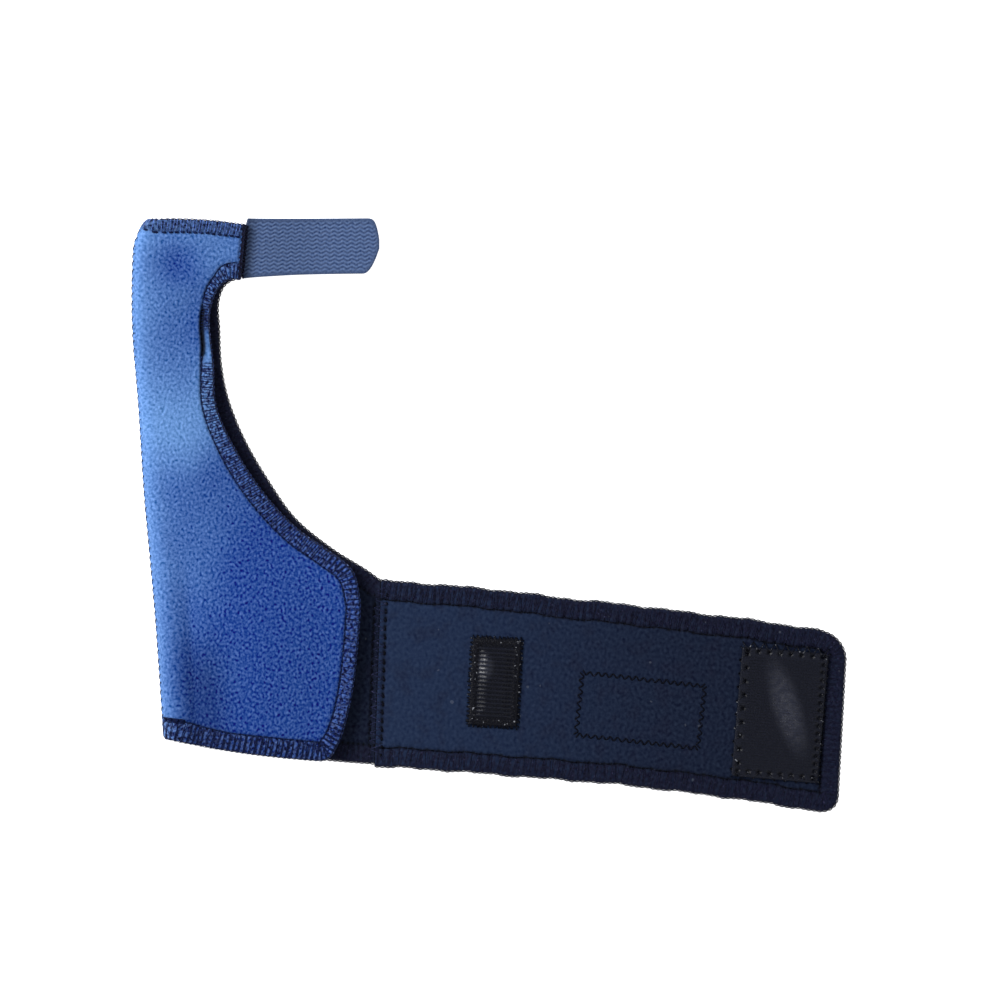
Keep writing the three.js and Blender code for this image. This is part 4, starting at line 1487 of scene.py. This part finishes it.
class BRACE_OT_seams(bpy.types.Operator):
    """Sew the side seam, the wrist seam and the thumb strap's seam"""

    bl_idname = "brace.seams"
    bl_label = "Seams"

    def execute(self, context):
        colours, sewing = context.scene.brace_colours, context.scene.brace_sewing
        random = np.random.default_rng(14)
        fine = sewing.fine_thread
        thick = sewing.thread * THUMB_SEAM_THREAD
        for name, strands, thickness, thread in (
            ("side_seam_stitches", self.side_seam(random, fine), fine, navy_thread(colours)),
            ("wrist_seam_stitches", self.wrist_seam(random, fine), fine, cover_thread(colours)),
            ("thumb_seam_stitches", self.thumb_seam(random, sewing), thick, navy_thread(colours)),
        ):
            thread_mesh(name, strands, thickness, thread)
        for name, aside, thickness in (
            ("panel", -WRIST_SEAM_ROW, WRIST_PANEL_THREAD),
            ("strap", WRIST_SEAM_ROW, WRIST_STRAP_THREAD),
        ):
            row = self.wrist_row(random, aside)
            stitches = thread_mesh(f"wrist_seam_{name}_row", row, thickness, dark_thread(colours))
        return {"FINISHED"}

    @staticmethod
    def side_seam(random, thread):
        """Slanting stitches over the outside of the curl, from one panel to the other. Their ends go
        into the cloth."""
        grid = front_panel_surface()[0].grid
        start = grid[:, 0]
        way = unit(grid[:, 6, :2] - grid[:, 0, :2])
        length = runs(start)[-1]
        share = np.linspace(-1, 1, 9)
        paths = []
        for run in np.arange(2 * MM, length - 2 * MM, SIDE_SEAM_PITCH):
            at = run + share * SIDE_SEAM_PITCH * 0.45 + random.normal(0, 0.1 * MM)
            place = at_run(start, at)
            ahead = unit(np.stack([np.interp(at, runs(start), w) for w in way.T], axis=1))
            radius = fold_radius(place[:, 1] / PANEL_HEIGHT)
            out = radius + LAMINATE / 2 + thread * (-0.1 - 0.5 * np.abs(share) ** 4)
            angle = share * SIDE_SEAM_ROW / (radius + LAMINATE / 2)
            plan = place[:, :2] + ahead * (radius - out * np.cos(angle))[:, None]
            level = LAMINATE / 2 + radius + out * np.sin(angle)
            paths.append(np.concatenate([plan, level[:, None]], axis=1))
        return [np.array(paths)]

    @staticmethod
    def wrist_seam(random, thread):
        """Cover threads from one needle row to the other, slanting both ways"""
        up = leaning(WRIST_SEAM_LEAN)
        length = STRAP_WIDTH - 5 * MM
        line = WRIST_SEAM + up * (np.linspace(-0.5, 0.5, 60) * length)[:, None]
        top = LAMINATE - FOOT_DEPTH
        cover = []
        for slant in (0, 1):
            feet = at_height(zigzag(line, WRIST_SEAM_PITCH, WRIST_SEAM_ROW, -WRIST_SEAM_ROW), top)
            feet = feet[slant:]
            feet[:, :2] += random.normal(0, 0.12 * MM, (len(feet), 2))
            cover.append(legs(feet[:-1], feet[1:], thread * 0.5, FOOT_DEPTH))
        return cover

    @staticmethod
    def wrist_row(random, aside):
        """Short stitches drawn into the cloth along one needle row"""
        up = leaning(WRIST_SEAM_LEAN)
        out = np.array([up[1], -up[0]])
        run = np.arange(-0.5, 0.5, WRIST_SEAM_PITCH / STRAP_WIDTH)[1:-1] * STRAP_WIDTH
        middle = WRIST_SEAM + up * run[:, None] + out * aside
        middle = middle + random.normal(0, 0.15 * MM, middle.shape)
        level = LAMINATE - FOOT_DEPTH
        ends = [at_height(middle + up * WRIST_SEAM_PITCH * reach, level) for reach in (-0.13, 0.13)]
        return [legs(*ends, 0.12 * MM, 0.4 * MM)]

    @staticmethod
    def thumb_seam(random, sewing):
        """Stitches from the front panel's edge down to the thumb strap, and the threads along them"""
        surface, joint_row = front_panel_surface()
        edge = surface.grid[joint_row:, -1]
        length = runs(edge)[-1]
        ahead = unit(edge[-1] - edge[0])
        out = np.array([ahead[1], -ahead[0], 0])
        half = LAMINATE / 2
        reach = np.array([-1.4, -1.1, -0.5, 0.2, 0.5, 0.7, 0.9]) * MM
        rise = np.array([
            half - 0.4 * MM, half + sewing.thread / 2, half, 0, -half + 0.4 * MM, -half + 0.1 * MM,
            -half - 0.5 * MM,
        ])
        along = np.linspace(-0.25, 0.25, len(reach)) * THUMB_SEAM_PITCH
        paths = []
        for number, run in enumerate(np.arange(0.5 * MM, length - 0.3 * MM, THUMB_SEAM_PITCH / 2)):
            slant = along if number % 2 else -along
            place = at_run(edge, np.clip(run + slant + random.normal(0, 0.12 * MM), 0, length))
            path = place + out * (reach + random.normal(0, 0.12 * MM))[:, None]
            path[:, 2] = place[:, 2] + rise
            paths.append(path)
        run = np.arange(0, length, 0.4 * MM)
        wave = 0.22 * MM * np.sin(2 * np.pi * run / THUMB_SEAM_PITCH)
        chains = []
        for across, level in ((-1.2 * MM, half - 0.15 * MM), (-0.5 * MM, half), (0.6 * MM, 0.3 * MM - half)):
            sway = across + wave + random.normal(0, 0.05 * MM, len(run))
            chain = at_run(edge, run) + out * sway[:, None]
            chain[:, 2] += level
            chains.append(chain[None])
        return [np.array(paths), *chains]


# The hook tape's thickness, and the level on which the patches lie
HOOK_TAPE = 1.2 * MM
PATCH_BASE = LAMINATE + SEWN_GAP

# The hook patches and the stitched rectangle: place along the strap and up across it, length along
# the strap, width across it, and tilt in degrees clockwise. ribs are their spacing along and across
# the patch, rib their height, hooks the spacing of the hooks, border the width without hooks, and
# pillow how far a patch stands up inside its stitched border.
MIDDLE_PATCH = {
    "along": 50.5 * MM, "across": 0, "length": 21 * MM, "width": 38 * MM, "tilt": 3,
    "ribs": (None, 1.85 * MM), "rib": 0.4 * MM, "hooks": (1.3 * MM, 1.85 * MM), "border": 3.2 * MM,
    "pillow": 1.3 * MM,
}
END_PATCH = {
    "along": 175.8 * MM, "across": 0, "length": 38 * MM, "width": 57 * MM, "tilt": 5,
    "ribs": (1.15 * MM, 1.3 * MM), "rib": 0.12 * MM, "hooks": (1.15 * MM, 1.3 * MM),
    "border": 3.4 * MM, "pillow": 0.0,
}
HIDDEN_PATCH = {
    "along": 114.4 * MM, "across": -6.1 * MM, "length": 54 * MM, "width": 27.5 * MM, "tilt": 6.3,
}

# How thick the threads of the patches' stitches are
MIDDLE_STITCHES = 0.5 * MM
HIDDEN_STITCHES = 0.72 * MM

# A hook's thickness and turn, and its bend: reach as a share of the turn, and rise in millimetres
HOOK_THREAD = 0.2 * MM
HOOK_TURN = 0.32 * MM
HOOK_BEND = ((-0.4, -0.2), (-0.35, 0.25), (0, 0.5), (0.6, 0.52), (0.9, 0.22))

# The hole round a stitch that goes down through the end patch: half its width, and its depth
PIT_REACH = 0.9 * MM
PIT_DEPTH = 0.8 * MM

# How much painted shade darkens the small patch between its ribs
RIB_SHADE = 0.6

# Where each patch gleams, with a painted highlight: place along and across it, half its length and width in
# millimetres, and tilt
MIDDLE_GLEAM = (-4.8, 6.5, 7.5, 5, 0)
END_GLEAM = (2.6, 3.5, 27, 8, -17)


def patch_point(patch, u, v):
    """A plan point of a patch, from distances along and across from its middle"""
    along = patch["along"]
    fall = through(STRAP_SECTIONS, along / STRAP_LENGTH) * STRAP_WIDTH
    middle = STRAP_START + [along, patch["across"] - fall]
    tilt = math.radians(patch["tilt"])
    across = np.array([math.sin(tilt), math.cos(tilt)])
    lengthwise = np.array([math.cos(tilt), -math.sin(tilt)])
    return middle + np.asarray(u)[..., None] * lengthwise + np.asarray(v)[..., None] * across


def patch_inside(patch, u, v):
    """How far inside a patch's edge its points lie"""
    return np.minimum(patch["length"] / 2 - np.abs(u), patch["width"] / 2 - np.abs(v))


def patch_swell(patch, inside):
    """How far a patch stands up over its border, at distances inside its edge"""
    return patch["pillow"] * smooth(2 * MM, 7.5 * MM, inside)


def patch_grid(patch, step, height):
    """A patch's grid at mid thickness with its corners rounded"""
    u = stations(patch["length"], step) - patch["length"] / 2
    v = stations(patch["width"], step) - patch["width"] / 2
    u, v = np.meshgrid(u, v)
    half_u, half_v = patch["length"] / 2, patch["width"] / 2
    into = np.clip(np.abs(u) - half_u + PATCH_CORNER, 0, PATCH_CORNER)
    cut = PATCH_CORNER - np.sqrt(PATCH_CORNER**2 - into**2)
    v = v * (1 - cut / half_v)
    flat = patch_point(patch, u, v)
    return np.concatenate([flat, np.full((*u.shape, 1), height)], axis=2), u, v


def patch_outline(patch):
    """The four plan lines round a patch, anticlockwise"""
    u, v = patch["length"] / 2, patch["width"] / 2
    corners = patch_point(patch, np.array([-u, u, u, -u, -u]), np.array([-v, -v, v, v, -v]))
    return [corners[k : k + 2] for k in range(4)]


class BRACE_OT_hook_patches(bpy.types.Operator):
    """Build the two patches of hook tape, their hooks and the stitches that hold them"""

    bl_idname = "brace.hook_patches"
    bl_label = "Hook patches"

    def execute(self, context):
        colours, sewing = context.scene.brace_colours, context.scene.brace_sewing
        random = np.random.default_rng(15)
        middle_tape = hook_tape("middle_hook_tape", colours, self.highlight_oval(MIDDLE_PATCH, MIDDLE_GLEAM), 0.7)
        end_tape = hook_tape("end_hook_tape", colours, self.highlight_oval(END_PATCH, END_GLEAM), 1.0)
        thread = black_thread(colours)
        end_feet = self.end_feet()
        pits = np.vstack([feet[1::2] for feet in end_feet])
        middle = self.tape("middle_hook_tape", MIDDLE_PATCH, (), middle_tape)
        end = self.tape("end_hook_tape", END_PATCH, pits, end_tape)
        middle_hooks = self.hooks("middle_hooks", MIDDLE_PATCH, random, middle_tape)
        end_hooks = self.hooks("end_hooks", END_PATCH, random, end_tape)
        paths = self.middle_stitches(random)
        middle_stitches = thread_mesh("middle_patch_stitches", paths, MIDDLE_STITCHES, thread)
        paths = [self.sloping(feet, random) for feet in end_feet]
        end_stitches = thread_mesh("end_patch_stitches", paths, sewing.thread, thread)
        paths = self.hidden_stitches(random)
        hidden = thread_mesh("hidden_patch_stitches", paths, HIDDEN_STITCHES, dark_thread(colours))
        for patch, node_name, hooks, stitches, size in (
            (middle, "middle_hook_patch", middle_hooks, middle_stitches, MIDDLE_PATCH),
            (end, "end_hook_patch", end_hooks, end_stitches, END_PATCH),
        ):
            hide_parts(node_name)
        return {"FINISHED"}

    @staticmethod
    def highlight_oval(patch, gleam):
        """The oval on a patch that gleams, in the object's own space"""
        along, across, length, width, tilt = gleam
        centre = PLAN + [*patch_point(patch, along * MM, across * MM), 0]
        lean = math.radians(tilt)
        way = np.array([math.sin(lean), math.cos(lean), 0])
        aside = np.array([math.cos(lean), -math.sin(lean), 0])
        return tuple(centre), tuple(way / (length * MM)), tuple(aside / (width * MM))

    @staticmethod
    def tape(name, patch, pits, material):
        """The tape itself, ribbed inside its stitched border and drawn in at each of the pits, where a stitch
        goes down. Without ribs along it, its hollows get painted shade."""
        grid, u, v = patch_grid(patch, 0.45 * MM, PATCH_BASE + HOOK_TAPE / 2)
        surface = Surface(grid)
        inside = patch_inside(patch, u, v)
        half = rounding(np.maximum(inside, 0), HOOK_TAPE)
        rib_u, rib_v = patch["ribs"]
        plain = smooth(2.2 * MM, 3.2 * MM, inside)
        rib = 0.5 + 0.5 * np.cos(2 * np.pi * v / rib_v)
        if rib_u:
            rib = (rib + 0.5 + 0.5 * np.cos(2 * np.pi * u / rib_u)) / 2
        upper = half - patch["rib"] * (1 - rib) * plain * half / (HOOK_TAPE / 2)
        upper = upper + patch_swell(patch, inside)
        # Painted shade in the hollows between the ribs and in the pits; the plain border is darker too
        sunk = 0 * half if rib_u else RIB_SHADE * (1 - rib * plain)
        for pit in pits:
            away = np.linalg.norm(grid[:, :, :2] - pit, axis=2)
            hole = np.exp(-((away / PIT_REACH) ** 2))
            upper = upper - PIT_DEPTH * hole
            sunk = np.maximum(sunk, hole)
        points, quads = surface.closed(np.maximum(upper, -half * 0.6), half)
        fields = {"shade": surface.on_both(1 - 0.92 * sunk)}
        return add_mesh(name, points, quads.tolist(), [material], None, fields)

    @staticmethod
    def hooks(name, patch, random, material):
        """The field of small bent hooks"""
        step_u, step_v = patch["hooks"]
        border = patch["border"]
        u = np.arange(-patch["length"] / 2 + border, patch["length"] / 2 - border, step_u)
        v = np.arange(-patch["width"] / 2 + border, patch["width"] / 2 - border, step_v)
        u, v = (w.ravel() for w in np.meshgrid(u, v))
        u = u + random.normal(0, 0.06 * MM, u.shape)
        v = v + random.normal(0, 0.05 * MM, v.shape)
        turn = np.sign(random.random(u.shape) - 0.5) * HOOK_TURN
        base = PATCH_BASE + HOOK_TAPE + patch_swell(patch, patch_inside(patch, u, v))
        paths = np.empty((len(u), len(HOOK_BEND), 3))
        for k, (reach, rise) in enumerate(HOOK_BEND):
            paths[:, k, :2] = patch_point(patch, u + reach * turn, v)
            paths[:, k, 2] = base + rise * MM
        return thread_mesh(name, [paths], HOOK_THREAD, material, 4, {"shade": 1.0})

    @staticmethod
    def end_feet():
        """The zigzag round the end patch: wide apart at its inner side, closer elsewhere"""
        sides = patch_outline(END_PATCH)
        pitches = (4.7 * MM, 3.4 * MM, 4.7 * MM, 6.1 * MM)
        reaches = ((-0.7, 2.6), (-0.7, 1.9), (-2.3, 1.7), (-0.7, 2.6))
        return [
            zigzag(line, pitch, low * MM, high * MM)
            for line, pitch, (low, high) in zip(sides, pitches, reaches)
        ]

    @staticmethod
    def sloping(feet, random):
        """Legs between feet that stand on the strap and on the patch in turn"""
        inner = np.arange(len(feet)) % 2 == 1
        height = np.where(inner, PATCH_BASE + HOOK_TAPE - FOOT_DEPTH, LAMINATE + 0.05 * MM)
        feet = np.concatenate([feet, height[:, None]], axis=1)
        feet[:, :2] += random.normal(0, 0.1 * MM, (len(feet), 2))
        return legs(feet[:-1], feet[1:], 0.75 * MM, 0.2 * MM)

    def middle_stitches(self, random):
        """A close zigzag over the small patch's border, sewn twice"""
        found = []
        for pitch, low, high in ((1.9 * MM, -1.3 * MM, 2.9 * MM), (2.3 * MM, -1.1 * MM, 3.2 * MM)):
            for line in patch_outline(MIDDLE_PATCH):
                found.append(self.sloping(zigzag(line, pitch, low, high), random))
        return found

    @staticmethod
    def hidden_stitches(random):
        """The zigzag that holds a patch on the strap's other side"""
        found = []
        for line in patch_outline(HIDDEN_PATCH):
            feet = at_height(zigzag(line, 3.4 * MM, -1.1 * MM, 1.1 * MM), LAMINATE)
            feet[:, :2] += random.normal(0, 0.1 * MM, (len(feet), 2))
            found.append(legs(feet[:-1], feet[1:], 0.12 * MM, 0.5 * MM))
        return found


# Half the table's side, the camera's height, and the width that it sees: 990 pixels of 0.44 mm
TABLE_REACH = 3.0
CAMERA_HEIGHT = 3.6
VIEW_WIDTH = 990 * 0.44 * MM


class BRACE_OT_stage(bpy.types.Operator):
    """Set the white table, the soft light and the camera"""

    bl_idname = "brace.stage"
    bl_label = "Stage"

    def execute(self, context):
        scene = context.scene
        mesh = bpy.data.meshes.new("brace_floor")
        turns = ((-1, -1), (1, -1), (1, 1), (-1, 1))
        corners = [(x * TABLE_REACH, y * TABLE_REACH, 0) for x, y in turns]
        mesh.from_pydata(corners, [], [(0, 1, 2, 3)])
        glow = {"Base Color": (0.9, 0.9, 0.9, 1), "Emission Color": (1, 1, 1, 1), "Emission Strength": 0.85}
        material, _, _ = new_material("white_table", 0.9, **glow)
        mesh.materials.append(material)
        floor = bpy.data.objects.new("brace_floor", mesh)
        scene.collection.objects.link(floor)
        self.light(scene, "key_light", (-1.5, 0.9, 1.45), 1.0, 52)
        self.light(scene, "fill_light", (1.0, -1.2, 2.2), 2.0, 14)
        world = bpy.data.worlds.new("soft_studio")
        world.use_nodes = True
        background = world.node_tree.nodes["Background"]
        background.inputs["Color"].default_value = (1, 1, 1, 1)
        background.inputs["Strength"].default_value = 0.42
        scene.world = world
        scene.view_settings.view_transform = "Standard"
        self.camera(scene)
        return {"FINISHED"}

    @staticmethod
    def light(scene, name, place, size, power):
        """A square area light that faces the brace"""
        data = bpy.data.lights.new(name, "AREA")
        data.size = size
        data.energy = power
        lamp = bpy.data.objects.new(name, data)
        lamp.location = place
        lamp.rotation_euler = Vector(place).to_track_quat("Z", "Y").to_euler()
        scene.collection.objects.link(lamp)

    @staticmethod
    def camera(scene):
        """Straight above, far enough away that the sleeve's height doesn't enlarge it"""
        data = bpy.data.cameras.new("camera")
        data.sensor_width = 36
        data.lens = data.sensor_width * CAMERA_HEIGHT / VIEW_WIDTH
        camera = bpy.data.objects.new("camera", data)
        camera.location = (2.9 * MM, 8.6 * MM, CAMERA_HEIGHT)
        scene.collection.objects.link(camera)
        scene.camera = camera


OPERATORS = (
    BRACE_OT_stage, BRACE_OT_front_panel, BRACE_OT_back_panel, BRACE_OT_wrist_strap, BRACE_OT_thumb_strap,
    BRACE_OT_seams, BRACE_OT_hook_patches,
)


class BRACE_PT_sidebar(bpy.types.Panel):
    """Lists the brace's pieces"""

    bl_idname = "BRACE_PT_sidebar"
    bl_label = "Wrist thumb brace"
    bl_space_type = "VIEW_3D"
    bl_region_type = "UI"
    bl_category = "Brace"

    def draw(self, context):
        for operator in OPERATORS:
            self.layout.operator(operator.bl_idname)
        for settings in (context.scene.brace_colours, context.scene.brace_sewing):
            for name in settings.__annotations__:
                self.layout.prop(settings, name)


CLASSES = (BraceColours, BraceSewing, *OPERATORS, BRACE_PT_sidebar)


def register():
    for kind in CLASSES:
        bpy.utils.register_class(kind)
    bpy.types.Scene.brace_colours = bpy.props.PointerProperty(type=BraceColours)
    bpy.types.Scene.brace_sewing = bpy.props.PointerProperty(type=BraceSewing)


def unregister():
    del bpy.types.Scene.brace_colours
    del bpy.types.Scene.brace_sewing
    for kind in reversed(CLASSES):
        bpy.utils.unregister_class(kind)


def main():
    register()
    bpy.ops.brace.stage()
    bpy.ops.brace.front_panel()
    bpy.ops.brace.back_panel()
    bpy.ops.brace.wrist_strap()
    bpy.ops.brace.thumb_strap()
    bpy.ops.brace.seams()
    bpy.ops.brace.hook_patches()


if __name__ == "__main__":
    main()
